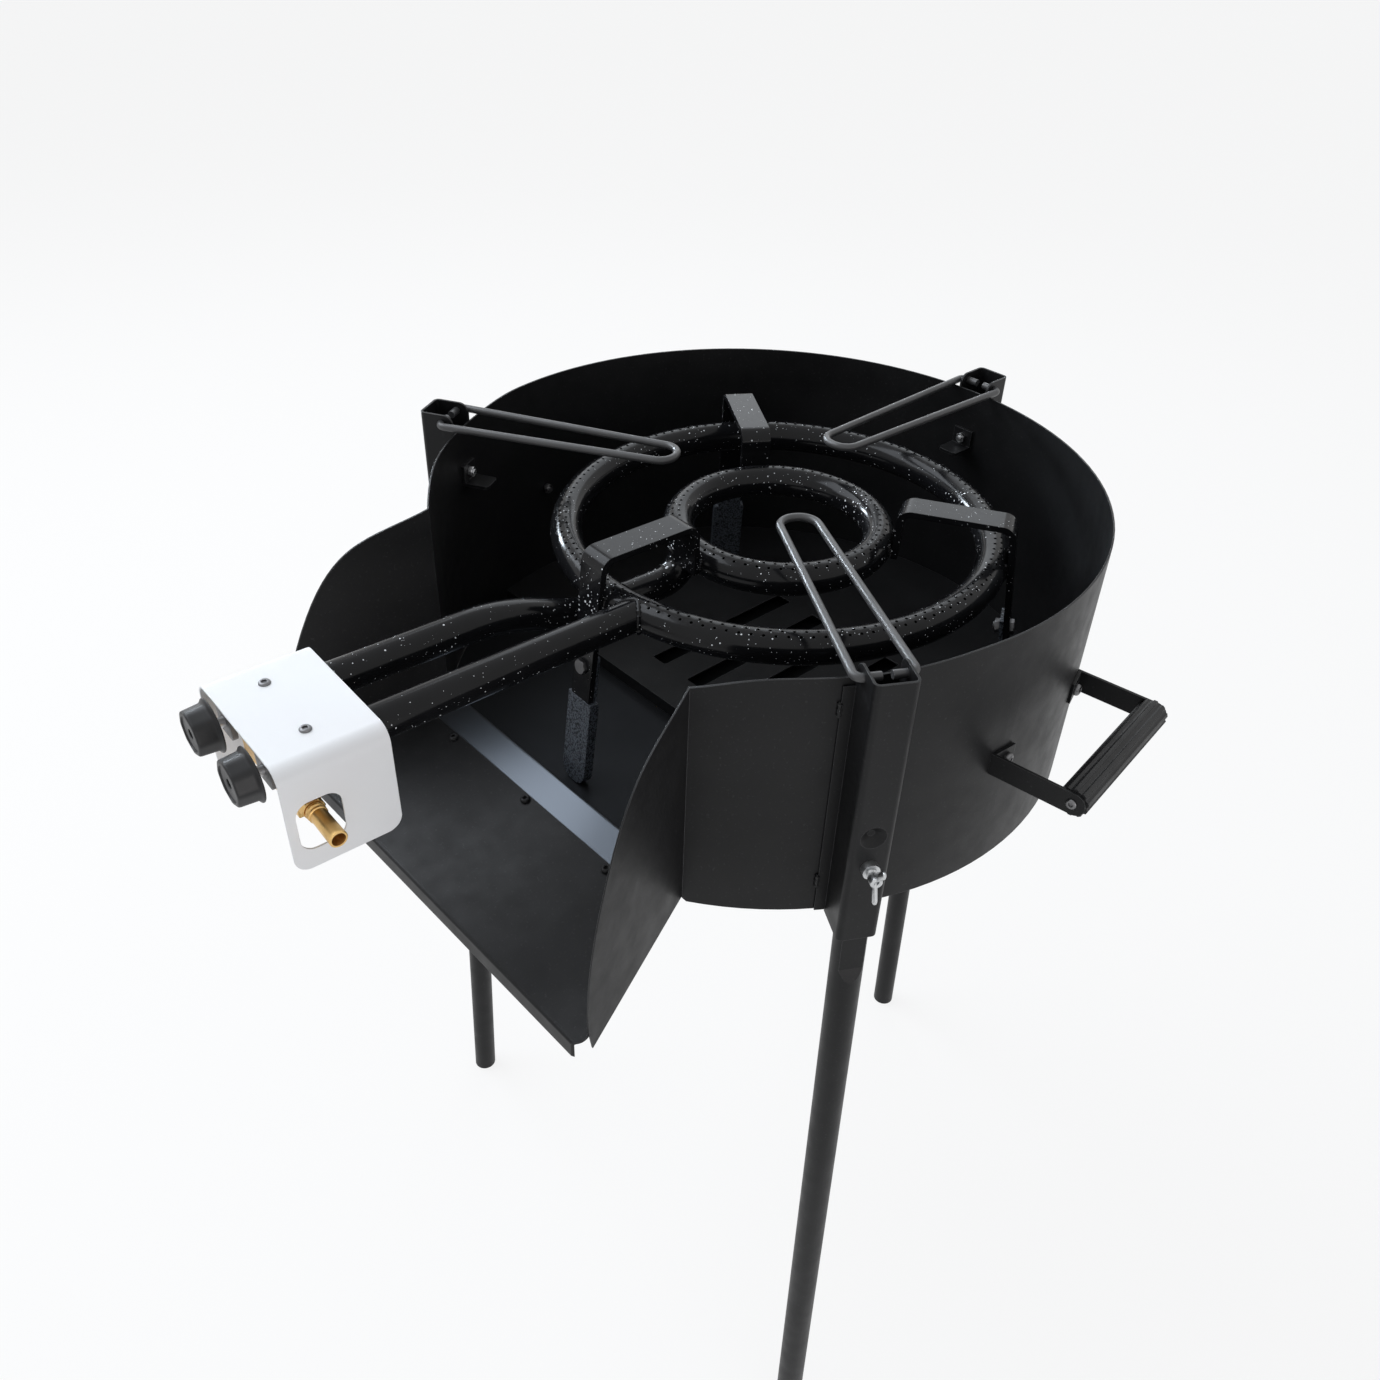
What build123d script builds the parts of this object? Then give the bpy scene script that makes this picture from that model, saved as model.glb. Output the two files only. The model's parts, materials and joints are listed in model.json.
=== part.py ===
from build123d import *

import os
from math import cos, radians, sin, sqrt, tan

# A two-ring paella burner standing in a round wind guard on three tube legs.
# The Z axis is the axis of the wind guard, Z = 0 is the ground and the open mouth faces -Y.

# Clearances
fit_gap = 0.3  # between sheet pieces that are fitted side by side
weld_gap = 0.1  # between pieces that are welded together
run_gap = 0.08  # round a shaft that turns or slides in its hole
bolt_gap = 0.2  # round a fastener in its hole

# Wind guard
sheet = 1.5  # wall, floor, shelf and cover
drum_r = 300.0  # outside of the wall
drum_z = 770.0  # lower edge of the wall above the ground
drum_h = 237.0
mouth_angle = 55.7  # the wall ends this far below the X axis, seen from above
rim_fall = [  # fall of the rim towards the bend: behind the bend, below the rim
    (186.6, 0.0),
    (124.6, 3.5),
    (62.6, 5.0),
    (40.6, 6.0),
    (24.6, 9.5),
]
wing_flare = 20.5
wing_reach = 138.0  # from the bend forward to the tip
wing_root_h = 216.0
wing_mid = (66.0, 188.0)  # forward of the bend, above the lower edge
wing_low = (112.0, 122.0)
wing_drop = 26.0  # tip below the lower edge of the wall
wing_rake = 5.0  # lower corner of the tip behind the tip
bend_relief = 5.0

# Floor
pan_h = 3.0  # underside of the floor above the lower edge of the wall
lip_y = -245.0  # front edge of the floor
crest_h = 23.0  # top of the ridge across the mouth
ridge_bend = 2.0
tongue = 20.0  # part of the ridge that carries the shelf
baffle_h = 16.5  # underside of the raised plate
baffle_front = -97.0
slot_w = 18.0
slot_len = 182.0
slot_corner = 1.5
slot_y = 34.0
slot_pitch = 51.0
slot_count = 4

# Front shelf
shelf_y = -273.0  # rear edge
shelf_h = 11.3
shelf_len = 123.5
shelf_slope = 11.0
shelf_lip = 15.5
shelf_bend = 2.5
shelf_corner = 10.0
shelf_bolt_pitch = 112.0
shelf_bolt_in = 5.5  # bolts in from the rear edge
shelf_bolt_r = 2.5

# Posts, legs and wing screws
stations = {"right": -30.0, "back": 90.0, "left": 210.0}
post_sheet = 2.0
post_w = 34.0
post_depth = 34.0  # outer face beyond the wall
post_rise = 12.0  # top above the rim
post_drop = 3.0  # bottom below the lower edge of the wall
post_bend = 5.0
flange_half = 26.0
flange_high = 226.0
ear_r = 9.0
leg_r = 14.0
leg_wall = 1.5
leg_lean = 2.5
leg_top_h = 92.0
leg_top_gap = 2.0  # between the wall and the top of the leg
flat_depth = 4.5  # pressed flat on the outer side of the leg
flat_len = 135.0
facet_len = 12.0
dimple_h = 107.0
dimple_r = 10.5
dimple_tip_r = 4.0
dimple_depth = 6.0
screw_h = 77.0  # wing screw above the lower edge of the wall
screw_r = 4.0
screw_tip_gap = 0.5
collar_r = 7.0
collar_len = 6.0
hub_r = 5.0
hub_len = 9.0
hub_stand = 3.0  # hub clear of the collar
ear_tip = (13.0, 13.0)  # middle of the wing's tip, out along the screw and across it
ear_tip_r = 3.5
ear_root_r = 3.5
ear_t = 3.0
ear_turn = 8.0
ear_spread = 180.0  # from one wing to the other

# Pan arms
wire_r = 3.5
arm_in = 12.0  # hinge beyond the outside of the wall
arm_half = 23.0  # strands at the post, from the middle
arm_bend = 6.4
arm_end_r = 86.0
arm_end_half = 16.0
arm_end_bend = 15.5
pin_gap = 8.0  # between the two pin ends inside the post

# Brackets inside the wall
lug_h = 176.0
lug_w = 22.0
lug_deep = 27.0
lug_tall = 20.0
lug_t = 3.0
lug_corner = 4.0
lug_bolt_up = 11.0
lug_bolt_r = 3.0

# Handles
handle_angles = {"right": 7.6, "left": 173.4}
handle_h = 114.0
strap_w = 20.0
strap_t = 2.5
strap_half = 75.0  # inner face of each strap from the middle of the handle
strap_foot = 25.0
strap_past = 11.0  # strap beyond the axis of the grip
grip_out = 60.0  # axis of the grip beyond the wall
grip_r = 13.0
flutes = 10
flute_r = 3.0
handle_bolt_in = 13.0  # bolt in from the inner face of the strap
handle_bolt_r = 3.0
grip_screw_r = 2.5
grip_screw_len = 14.0

# Small fasteners
head_k = 1.8  # radius of a head over the radius of its shank
head_h = 3.5
nut_h = 4.5

# Burner
burner_x = 11.0  # the burner stands by hand, a little off the middle
lip_gap = 60.0  # from the front edge of the floor back to the outer ring's middle line
burner_turn = -2.8  # and a little turned; places below are in the burner's own frame
ring_h = 186.5
ring_r = 14.5  # tube of the rings
outer_r = 193.0
inner_r = 91.5
feed_r = 14.0
feed_wall = 1.5
feed_mid = 5.2  # middle between the two feed tubes
feed_pitch = 66.0
feed_mouth = -442.0
dip_y = -280.0  # the inner ring's tube dips here to pass under the outer ring
dip_run = 79.0
dip_bend = 170.0
dip_end_bend = 100.0
dip_gap = 3.5  # under the outer ring
rise_bend = 27.0

# Bars and feet
bar_angles = {"front": -90.0, "right": 33.8, "left": 149.8}
bar_w = 28.0
bar_end_w = 24.0  # at the lower end of the leg
bar_t = 5.5
bar_top_h = 230.0
bar_bend = 10.0
bar_splay = 6.9
bar_end_drop = 5.0  # inner end below the middle of the ring
bar_low_h = 93.0
foot_w = 32.0
foot_t = 9.0
foot_round = 13.0
tang_top_h = 137.0
foot_bolt_h = 125.0
foot_bolt_r = 4.0

# Taps and cover
rail_y = -487.0
rail_h = 151.0
rail_w = 18.0
rail_round = 1.5
rail_left = -42.0
rail_right = 49.0
barrel_r = 12.0
barrel_front = -505.0
barrel_back = -463.0
stem_r = 7.0
plug_r = 6.0
plug_back = -471.0
boss_r = 9.0
boss_front = -457.0
bonnet_w = 24.0
bonnet_t = 4.0
spindle_r = 4.0
spindle_in = -485.0
spring_in = -476.0
spring_wall = 1.2
push = 3.0  # travel of a knob
mixer_wall = 1.6
mixer_plate = 2.5
mixer_in = 12.0  # mixer inside the tube
window_gap = 1.0
injector_r = 4.0
injector_hex = 6.0
injector_hex_len = 4.0
injector_tip_r = 2.2
injector_len = 12.0
cover_left = -59.5
cover_right = 71.5
cover_front = -512.5
cover_back = -430.5
cover_top_h = 205.0
cover_low_h = 115.0
cover_bend = 12.0
cover_corner = 12.0
window_y = -488.5
window_h = 152.0
window_size = (34.0, 42.0)
window_corner = 11.0
cover_screw_y = -475.5
cover_screw_r = 2.5
screw_post_r = 5.0
knob_gap = 1.0  # pushed knob to the edge of the cover
knob_skirt_r = 19.5
knob_skirt_t = 3.0
knob_r = 17.8
knob_len = 14.5
knob_sides = 8
knob_taper = 3.0
knob_dish_r = 13.0
knob_dish = 1.0
knob_eye_r = 3.5
knob_eye = 3.0
tail_hex = 8.0
tail_hex_len = 8.0
tail_r = 5.2
tail_len = 37.0
tail_bore_r = 3.6

# Heights and places that follow from the sizes above
rim_z = drum_z + drum_h
wall_r = drum_r - sheet
bend_x = wall_r * cos(radians(mouth_angle))
bend_y = -wall_r * sin(radians(mouth_angle))
tip_y = bend_y - wing_reach
pan_z = drum_z + pan_h
pan_top = pan_z + sheet
baffle_z = drum_z + baffle_h
baffle_top = baffle_z + sheet
floor_r = wall_r - fit_gap
post_face = drum_r + post_depth
post_bottom = drum_z - post_drop
post_top = rim_z + post_rise
pin_z = rim_z + wire_r + fit_gap
pin_r = drum_r + arm_in
leg_top_z = drum_z + leg_top_h
leg_top_r = drum_r + leg_top_gap + leg_r
screw_z = drum_z + screw_h
screw_tip = leg_top_r + leg_r - flat_depth + (leg_top_z - screw_z) * tan(radians(leg_lean)) + screw_tip_gap
hub_start = post_face + collar_len + hub_stand
lug_z = drum_z + lug_h
lug_bolt_z = lug_z + lug_bolt_up
handle_z = drum_z + handle_h
grip_axis = drum_r + grip_out
ring_z = drum_z + ring_h
dip_z = ring_z - ring_r - dip_gap - feed_r
bar_mid_z = drum_z + bar_top_h - bar_t / 2
tap_z = ring_z
rail_z = drum_z + rail_h
cover_top = drum_z + cover_top_h
cover_low = drum_z + cover_low_h
knob_back = cover_front - knob_gap - push
burner_y = lip_y + outer_r + lip_gap
burner = (burner_x, burner_y)
feed_x = {"left": feed_mid - feed_pitch / 2, "right": feed_mid + feed_pitch / 2}
UP = Vector(0, 0, 1)


def outward(angle):
    """Direction away from the axis at an angle seen from above."""
    return Vector(cos(radians(angle)), sin(radians(angle)), 0)


def sideways(angle):
    """Direction along the wall at an angle seen from above."""
    return Vector(-sin(radians(angle)), cos(radians(angle)), 0)


def plan_plane(angle, height, centre=(0, 0)):
    """Level plane, its x axis outward."""
    return Plane(Vector(*centre, height), x_dir=outward(angle), z_dir=UP)


def side_plane(angle, centre=(0, 0)):
    """Upright plane through the axis, x outward and y up."""
    return Plane(Vector(*centre, 0), x_dir=outward(angle), z_dir=-sideways(angle))


def face_plane(angle, radius):
    """Upright plane across the radius, x along the wall and y up."""
    return Plane(outward(angle) * radius, x_dir=sideways(angle), z_dir=outward(angle))


def wing_x(y):
    """Inner face of the wing at a place in front of the bend."""
    return bend_x + (bend_y - y) * tan(radians(wing_flare))


os.makedirs("parts", exist_ok=True)


def save(piece, name):
    piece.part.label = name
    export_step(piece.part, f"parts/{name}.step")


# Wall of the wind guard: a bent strip seen from above, cut to its side view
with BuildPart() as windshield:
    with BuildSketch(Plane.XY.offset(drum_z - wing_drop)):
        Circle(drum_r)
        Circle(wall_r, mode=Mode.SUBTRACT)
        with BuildLine():
            Polyline((0, 0), (2 * bend_x, 2 * bend_y), (-2 * bend_x, 2 * bend_y), close=True)
        make_face(mode=Mode.SUBTRACT)
        across = Vector(cos(radians(wing_flare)), sin(radians(wing_flare))) * sheet
        root = Vector(bend_x, bend_y)
        tip = Vector(wing_x(tip_y), tip_y)
        corners = [root, tip, tip + across, root + across]
        for side in (1, -1):
            with BuildLine():
                Polyline([(side * corner.X, corner.Y) for corner in corners], close=True)
            make_face()
    extrude(amount=wing_drop + drum_h)
    with BuildSketch(Plane.YZ):
        with BuildLine():
            Spline(
                *[(bend_y + behind, rim_z - fall) for behind, fall in rim_fall],
                (bend_y, drum_z + wing_root_h),
                (bend_y - wing_mid[0], drum_z + wing_mid[1]),
                (bend_y - wing_low[0], drum_z + wing_low[1]),
                (tip_y, drum_z),
                tangents=[(-1, 0), (0, -1)],
            )
            Polyline(
                (tip_y, drum_z),
                (tip_y + wing_rake, drum_z - wing_drop),
                (bend_y - sheet, drum_z + bend_relief),
                (bend_y + sheet, drum_z),
                (drum_r, drum_z),
                (drum_r, rim_z),
                (bend_y + rim_fall[0][0], rim_z),
            )
        make_face()
    extrude(amount=drum_r, both=True, mode=Mode.INTERSECT)
    bolt_places = [(angle, lug_bolt_z, lug_bolt_r, 0) for angle in stations.values()]
    for angle in handle_angles.values():
        for side in (1, -1):
            bolt_places.append((angle, handle_z, handle_bolt_r, side * (strap_half - handle_bolt_in)))
    for angle, height, radius, along in bolt_places:
        with BuildSketch(face_plane(angle, 0)):
            with Locations((along, height)):
                Circle(radius + bolt_gap)
        extrude(amount=drum_r, mode=Mode.SUBTRACT)
save(windshield, "windshield")

# Shelf line and the tongue that carries it, seen from the side
shelf_drop = tan(radians(shelf_slope))
shelf_z = drum_z + shelf_h
shelf_front = shelf_y - shelf_len * cos(radians(shelf_slope))
fold_z = shelf_z - shelf_len * sin(radians(shelf_slope))
tongue_z = shelf_z - sheet / cos(radians(shelf_slope))
shelf_bolt_y = shelf_y - shelf_bolt_in
shelf_tilt = Plane(
    (0, shelf_bolt_y, shelf_z - shelf_bolt_in * shelf_drop),
    x_dir=(1, 0, 0),
    z_dir=(0, -sin(radians(shelf_slope)), cos(radians(shelf_slope))),
)
shelf_bolt_places = [(place * shelf_bolt_pitch, 0) for place in (-1, 0, 1)]

with BuildPart() as base_pan:
    with BuildSketch(Plane.XY.offset(pan_z)):
        Circle(floor_r)
        with Locations((0, lip_y)):
            Rectangle(2 * drum_r, drum_r, align=(Align.CENTER, Align.MAX), mode=Mode.SUBTRACT)
    extrude(amount=sheet)
    with BuildSketch(Plane.YZ):
        with BuildLine():
            FilletPolyline(
                (lip_y + tongue, pan_z + sheet / 2),
                (lip_y - sheet / 2, pan_z + sheet / 2),
                (lip_y - sheet / 2, drum_z + crest_h - sheet / 2),
                (shelf_y + sheet, tongue_z + sheet * shelf_drop),
                (shelf_y - tongue, tongue_z - tongue * shelf_drop),
                radius=ridge_bend,
            )
        trace(line_width=sheet)
    extrude(amount=bend_x - fit_gap, both=True)
    with BuildSketch(shelf_tilt):
        with Locations(*shelf_bolt_places):
            Circle(shelf_bolt_r + bolt_gap)
    extrude(amount=tongue / 2, both=True, mode=Mode.SUBTRACT)
save(base_pan, "base_pan")

with BuildPart() as front_shelf:
    with BuildSketch(Plane.YZ):
        with BuildLine():
            FilletPolyline(
                (shelf_y, shelf_z),
                (shelf_front, fold_z),
                (shelf_front, fold_z - shelf_lip),
                radius=shelf_bend,
            )
        trace(line_width=sheet)
    extrude(amount=drum_r, both=True)
    with BuildSketch(Plane.XY.offset(drum_z - drum_r)):
        rear_y = shelf_y + sheet
        edge_y = shelf_front - sheet
        rear_x = wing_x(rear_y) - fit_gap
        front_x = wing_x(edge_y) - fit_gap
        with BuildLine():
            FilletPolyline(
                (rear_x, rear_y),
                (front_x, edge_y),
                (-front_x, edge_y),
                (-rear_x, rear_y),
                radius=[0, shelf_corner, shelf_corner, 0],
                close=True,
            )
        make_face()
    extrude(amount=2 * drum_r, mode=Mode.INTERSECT)
    with BuildSketch(shelf_tilt):
        with Locations(*shelf_bolt_places):
            Circle(shelf_bolt_r + bolt_gap)
    extrude(amount=tongue / 2, both=True, mode=Mode.SUBTRACT)
save(front_shelf, "front_shelf")

with BuildPart() as shelf_bolts:
    with BuildSketch(shelf_tilt.offset(sheet / 2)):
        with Locations(*shelf_bolt_places):
            Circle(head_k * shelf_bolt_r)
    extrude(amount=head_h)
    fillet(shelf_bolts.faces().group_by(Axis.Z)[-1].edges(), head_h / 2)
    with BuildSketch(shelf_tilt.offset(sheet / 2)):
        with Locations(*shelf_bolt_places):
            Circle(shelf_bolt_r)
    extrude(amount=-2 * sheet - nut_h)
    with BuildSketch(shelf_tilt.offset(-1.5 * sheet - weld_gap)):
        with Locations(*shelf_bolt_places):
            RegularPolygon(head_k * shelf_bolt_r, 6)
    extrude(amount=-nut_h)
save(shelf_bolts, "shelf_bolts")

with BuildPart() as baffle_plate:
    with BuildSketch(Plane.XY.offset(baffle_z)):
        Circle(floor_r)
        with Locations((0, baffle_front)):
            Rectangle(2 * drum_r, drum_r, align=(Align.CENTER, Align.MAX), mode=Mode.SUBTRACT)
        with Locations((0, slot_y)):
            with GridLocations(slot_pitch, 0, slot_count, 1):
                RectangleRounded(slot_w, slot_len, slot_corner, mode=Mode.SUBTRACT)
    extrude(amount=sheet)
    with BuildSketch(Plane.XY.offset(pan_top)):
        with Locations((0, baffle_front)):
            Rectangle(
                2 * sqrt(floor_r**2 - baffle_front**2),
                sheet,
                align=(Align.CENTER, Align.MIN),
            )
    extrude(amount=baffle_h - pan_h - sheet)
save(baffle_plate, "baffle_plate")


def make_post(angle):
    """Hat-section post, its flanges bent to the wall."""
    reach = post_face - drum_r / 2
    ends_out = (Align.MAX, Align.CENTER)
    with BuildPart() as post:
        with BuildSketch(plan_plane(angle, post_bottom)):
            Circle(drum_r + post_sheet)
            with Locations((drum_r, 0)):
                Rectangle(drum_r, 2 * flange_half, mode=Mode.INTERSECT)
            with Locations((post_face, 0)):
                RectangleRounded(reach, post_w, post_bend, align=ends_out)
            with Locations((post_face - post_sheet, 0)):
                RectangleRounded(
                    reach,
                    post_w - 2 * post_sheet,
                    post_bend - post_sheet,
                    align=ends_out,
                    mode=Mode.SUBTRACT,
                )
            Circle(drum_r + weld_gap, mode=Mode.SUBTRACT)
        extrude(amount=post_top - post_bottom)
        with BuildSketch(face_plane(angle, 0)):
            half = post_w / 2
            right = [
                (half, post_bottom),
                (half, drum_z),
                (flange_half, drum_z),
                (flange_half, drum_z + flange_high),
                (half, drum_z + flange_high),
                (half, post_top),
            ]
            left = [(-x, z) for x, z in reversed(right)]
            with BuildLine():
                Polyline(right + left, close=True)
            make_face()
        extrude(amount=2 * drum_r, mode=Mode.INTERSECT)
        with BuildSketch(side_plane(angle)):
            with BuildLine():
                Polyline(
                    (drum_r, post_top - ear_r),
                    (drum_r, post_bottom),
                    (post_face, post_bottom),
                    (post_face, post_top),
                    (drum_r + ear_r, post_top),
                )
                CenterArc((drum_r + ear_r, post_top - ear_r), ear_r, 90, 90)
            make_face()
        extrude(amount=drum_r, both=True, mode=Mode.INTERSECT)
        with BuildSketch(side_plane(angle)):
            with Locations((pin_r, pin_z)):
                Circle(wire_r + run_gap)
        extrude(amount=post_w, both=True, mode=Mode.SUBTRACT)
        with BuildSketch(face_plane(angle, 0)):
            with Locations((0, screw_z)):
                Circle(screw_r + bolt_gap)
        extrude(amount=post_face, mode=Mode.SUBTRACT)
        dimple_z = drum_z + dimple_h
        with BuildSketch(face_plane(angle, post_face - post_sheet)):
            with Locations((0, dimple_z)):
                Circle(dimple_r)
        with BuildSketch(face_plane(angle, post_face - post_sheet - dimple_depth)):
            with Locations((0, dimple_z)):
                Circle(dimple_tip_r)
        loft()
        with BuildSketch(face_plane(angle, post_face)):
            with Locations((0, dimple_z)):
                Circle(dimple_r)
        with BuildSketch(face_plane(angle, post_face - dimple_depth)):
            with Locations((0, dimple_z)):
                Circle(dimple_tip_r - post_sheet / 2)
        loft(mode=Mode.SUBTRACT)
    return post


def leg_frame(angle):
    """Plane across the top of a leg, z up along the leaning leg and x to its outer side."""
    lean = radians(leg_lean)
    top = outward(angle) * leg_top_r + UP * leg_top_z
    along = UP * cos(lean) - outward(angle) * sin(lean)
    return Plane(top, x_dir=outward(angle) * cos(lean) + UP * sin(lean), z_dir=along)


def make_leg(angle):
    """Tube leg with a flat pressed in its upper end, cut level at the ground."""
    frame = leg_frame(angle)
    length = leg_top_z / cos(radians(leg_lean)) + 2 * leg_r
    flat_end = flat_len + facet_len
    flat = leg_r - flat_depth
    with BuildPart() as leg:
        with BuildSketch(frame):
            Circle(leg_r)
        extrude(amount=-length)
        with BuildSketch(Plane(frame.origin, x_dir=frame.x_dir, z_dir=-frame.y_dir)):
            with BuildLine():
                Polyline(
                    (flat, leg_r),
                    (2 * leg_r, leg_r),
                    (2 * leg_r, -flat_end),
                    (leg_r, -flat_end),
                    (flat, -flat_len),
                    close=True,
                )
            make_face()
        extrude(amount=leg_r, both=True, mode=Mode.SUBTRACT)
        with BuildSketch(frame.offset(-length)):
            Circle(leg_r - leg_wall)
        extrude(amount=length - flat_end, mode=Mode.SUBTRACT)
        with BuildSketch(frame):
            Circle(leg_r - leg_wall)
            with Locations((flat - leg_wall, 0)):
                Rectangle(leg_r, 2 * leg_r, align=(Align.MIN, Align.CENTER), mode=Mode.SUBTRACT)
        extrude(amount=-flat_end, mode=Mode.SUBTRACT)
        split(bisect_by=Plane.XY, keep=Keep.TOP)
    return leg


def make_wing_screw(angle):
    """Clamping screw with two wings."""
    with BuildPart() as screw:
        with BuildSketch(face_plane(angle, screw_tip)):
            with Locations((0, screw_z)):
                Circle(screw_r)
        extrude(amount=hub_start - screw_tip)
        with BuildSketch(face_plane(angle, hub_start)):
            with Locations((0, screw_z)):
                Circle(hub_r)
        extrude(amount=hub_len)
        hub = outward(angle) * hub_start + UP * screw_z
        for turn in (ear_turn, ear_turn + ear_spread):
            across = UP * sin(radians(turn)) - sideways(angle) * cos(radians(turn))
            with BuildSketch(Plane(hub, x_dir=outward(angle), z_dir=across)):
                with Locations((hub_len / 2, ear_root_r / 2)):
                    Circle(ear_root_r)
                with Locations(ear_tip):
                    Circle(ear_tip_r)
                make_hull()
            extrude(amount=ear_t / 2, both=True)
    return screw


def make_pan_arm(angle):
    """Wire arm bent to a long U, its two ends turned in as hinge pins."""
    with BuildPart() as arm:
        with BuildLine(plan_plane(angle, pin_z)):
            near = [
                (pin_r, pin_gap / 2),
                (pin_r, arm_half),
                (arm_end_r, arm_end_half),
            ]
            far = [(x, -y) for x, y in reversed(near)]
            bends = [arm_bend, arm_end_bend]
            FilletPolyline(near + far, radius=bends + bends[::-1])
        start = outward(angle) * pin_r + sideways(angle) * (pin_gap / 2) + UP * pin_z
        with BuildSketch(Plane(start, x_dir=outward(angle), z_dir=sideways(angle))):
            Circle(wire_r)
        sweep()
    return arm


for name, angle in stations.items():
    save(make_post(angle), f"post_{name}")
    save(make_leg(angle), f"leg_{name}")
    save(make_wing_screw(angle), f"wing_screw_{name}")
    save(make_pan_arm(angle), f"pan_arm_{name}")

with BuildPart() as clamp_nuts:
    for angle in stations.values():
        with BuildSketch(face_plane(angle, post_face)):
            with Locations((0, screw_z)):
                Circle(collar_r)
                Circle(screw_r + run_gap, mode=Mode.SUBTRACT)
        extrude(amount=collar_len)
save(clamp_nuts, "clamp_nuts")

with BuildPart() as wall_lugs:
    for angle in stations.values():
        with BuildSketch(plan_plane(angle, lug_z)):
            Circle(wall_r - weld_gap)
            with Locations((wall_r, 0)):
                Rectangle(2 * lug_deep, lug_w, mode=Mode.INTERSECT)
            fillet(vertices().sort_by_distance((0, 0, lug_z))[:2], lug_corner)
        extrude(amount=lug_t)
        with BuildSketch(plan_plane(angle, lug_z + lug_t)):
            Circle(wall_r - weld_gap)
            Circle(wall_r - weld_gap - lug_t, mode=Mode.SUBTRACT)
            with Locations((wall_r, 0)):
                Rectangle(2 * lug_deep, lug_w, mode=Mode.INTERSECT)
        extrude(amount=lug_tall - lug_t)
        with BuildSketch(face_plane(angle, 0)):
            with Locations((0, lug_bolt_z)):
                Circle(lug_bolt_r + bolt_gap)
        extrude(amount=drum_r, mode=Mode.SUBTRACT)
save(wall_lugs, "wall_lugs")


def add_bolt(angle, along, height, radius, inside, outside):
    """Bolt through the wall between two radii, its head outside and its nut inside."""
    with BuildSketch(face_plane(angle, outside)) as head:
        with Locations((along, height)):
            Circle(head_k * radius)
    extrude(head.sketch, amount=head_h)
    with BuildSketch(face_plane(angle, inside)) as shank:
        with Locations((along, height)):
            Circle(radius)
    extrude(shank.sketch, amount=outside - inside)
    with BuildSketch(face_plane(angle, inside)) as nut:
        with Locations((along, height)):
            RegularPolygon(head_k * radius, 6)
    extrude(nut.sketch, amount=-nut_h)


with BuildPart() as lug_bolts:
    for angle in stations.values():
        add_bolt(angle, 0, lug_bolt_z, lug_bolt_r, wall_r - 2 * weld_gap - lug_t, drum_r + weld_gap)
save(lug_bolts, "lug_bolts")


def make_strap(angle, side):
    """Handle strap: a foot on the wall and an arm out to the end of the grip."""
    outer = grip_axis + strap_past
    middle = side * (strap_half + strap_t / 2)
    foot_mid = side * (strap_half + strap_t - strap_foot / 2)
    with BuildPart() as strap:
        with BuildSketch(plan_plane(angle, handle_z - strap_w / 2)):
            Circle(drum_r + weld_gap + strap_t)
            with Locations((drum_r, foot_mid)):
                Rectangle(drum_r, strap_foot, mode=Mode.INTERSECT)
            with Locations((outer, middle)):
                Rectangle(outer - drum_r / 2, strap_t, align=(Align.MAX, Align.CENTER))
            Circle(drum_r + weld_gap, mode=Mode.SUBTRACT)
        extrude(amount=strap_w)
        far_face = strap.faces().sort_by(Axis((0, 0, 0), outward(angle)))[-1]
        fillet(far_face.edges().filter_by(lambda edge: edge.length < strap_w / 2), strap_w / 2 - fit_gap)
        with BuildSketch(side_plane(angle)):
            with Locations((grip_axis, handle_z)):
                Circle(grip_screw_r + bolt_gap)
        extrude(amount=drum_r, both=True, mode=Mode.SUBTRACT)
        with BuildSketch(face_plane(angle, 0)):
            with Locations((side * (strap_half - handle_bolt_in), handle_z)):
                Circle(handle_bolt_r + bolt_gap)
        extrude(amount=drum_r + strap_t, mode=Mode.SUBTRACT)
    return strap


def make_grip(angle):
    """Fluted grip with a bore for its end screws."""
    with BuildPart() as grip:
        with BuildSketch(side_plane(angle)):
            with Locations((grip_axis, handle_z)):
                Circle(grip_r)
                with PolarLocations(grip_r + flute_r / 2, flutes):
                    Circle(flute_r, mode=Mode.SUBTRACT)
                Circle(grip_screw_r + bolt_gap, mode=Mode.SUBTRACT)
        extrude(amount=strap_half - weld_gap, both=True)
    return grip


strap_sides = {"front": -1, "rear": 1}
for name, angle in handle_angles.items():
    mirrored = 1 if name == "right" else -1
    for place, side in strap_sides.items():
        save(make_strap(angle, side * mirrored), f"handle_strap_{name}_{place}")
    save(make_grip(angle), f"grip_{name}")

with BuildPart() as handle_bolts:
    for angle in handle_angles.values():
        for side in (1, -1):
            along = side * (strap_half - handle_bolt_in)
            reach = head_k * handle_bolt_r
            inside = sqrt(wall_r**2 - (abs(along) + reach) ** 2) - weld_gap
            outside = sqrt((drum_r + weld_gap + strap_t) ** 2 - (abs(along) - reach) ** 2) + weld_gap
            add_bolt(angle, along, handle_z, handle_bolt_r, inside, outside)
save(handle_bolts, "handle_bolts")

with BuildPart() as grip_screws:
    for angle in handle_angles.values():
        for side in (1, -1):
            along = sideways(angle) * side
            seat = outward(angle) * grip_axis + UP * handle_z + along * (strap_half + strap_t + weld_gap)
            end = Plane(seat, x_dir=UP, z_dir=along)
            with BuildSketch(end):
                Circle(head_k * grip_screw_r)
            extrude(amount=head_h / 2)
            with BuildSketch(end):
                Circle(grip_screw_r)
            extrude(amount=-grip_screw_len)
save(grip_screws, "grip_screws")

# Burner rings and the tubes that feed them, in the burner's own turned frame
burner_frame = Plane(Vector(burner_x, burner_y, 0), x_dir=outward(burner_turn), z_dir=UP)
feed_ring = {"left": inner_r, "right": outer_r}


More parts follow.
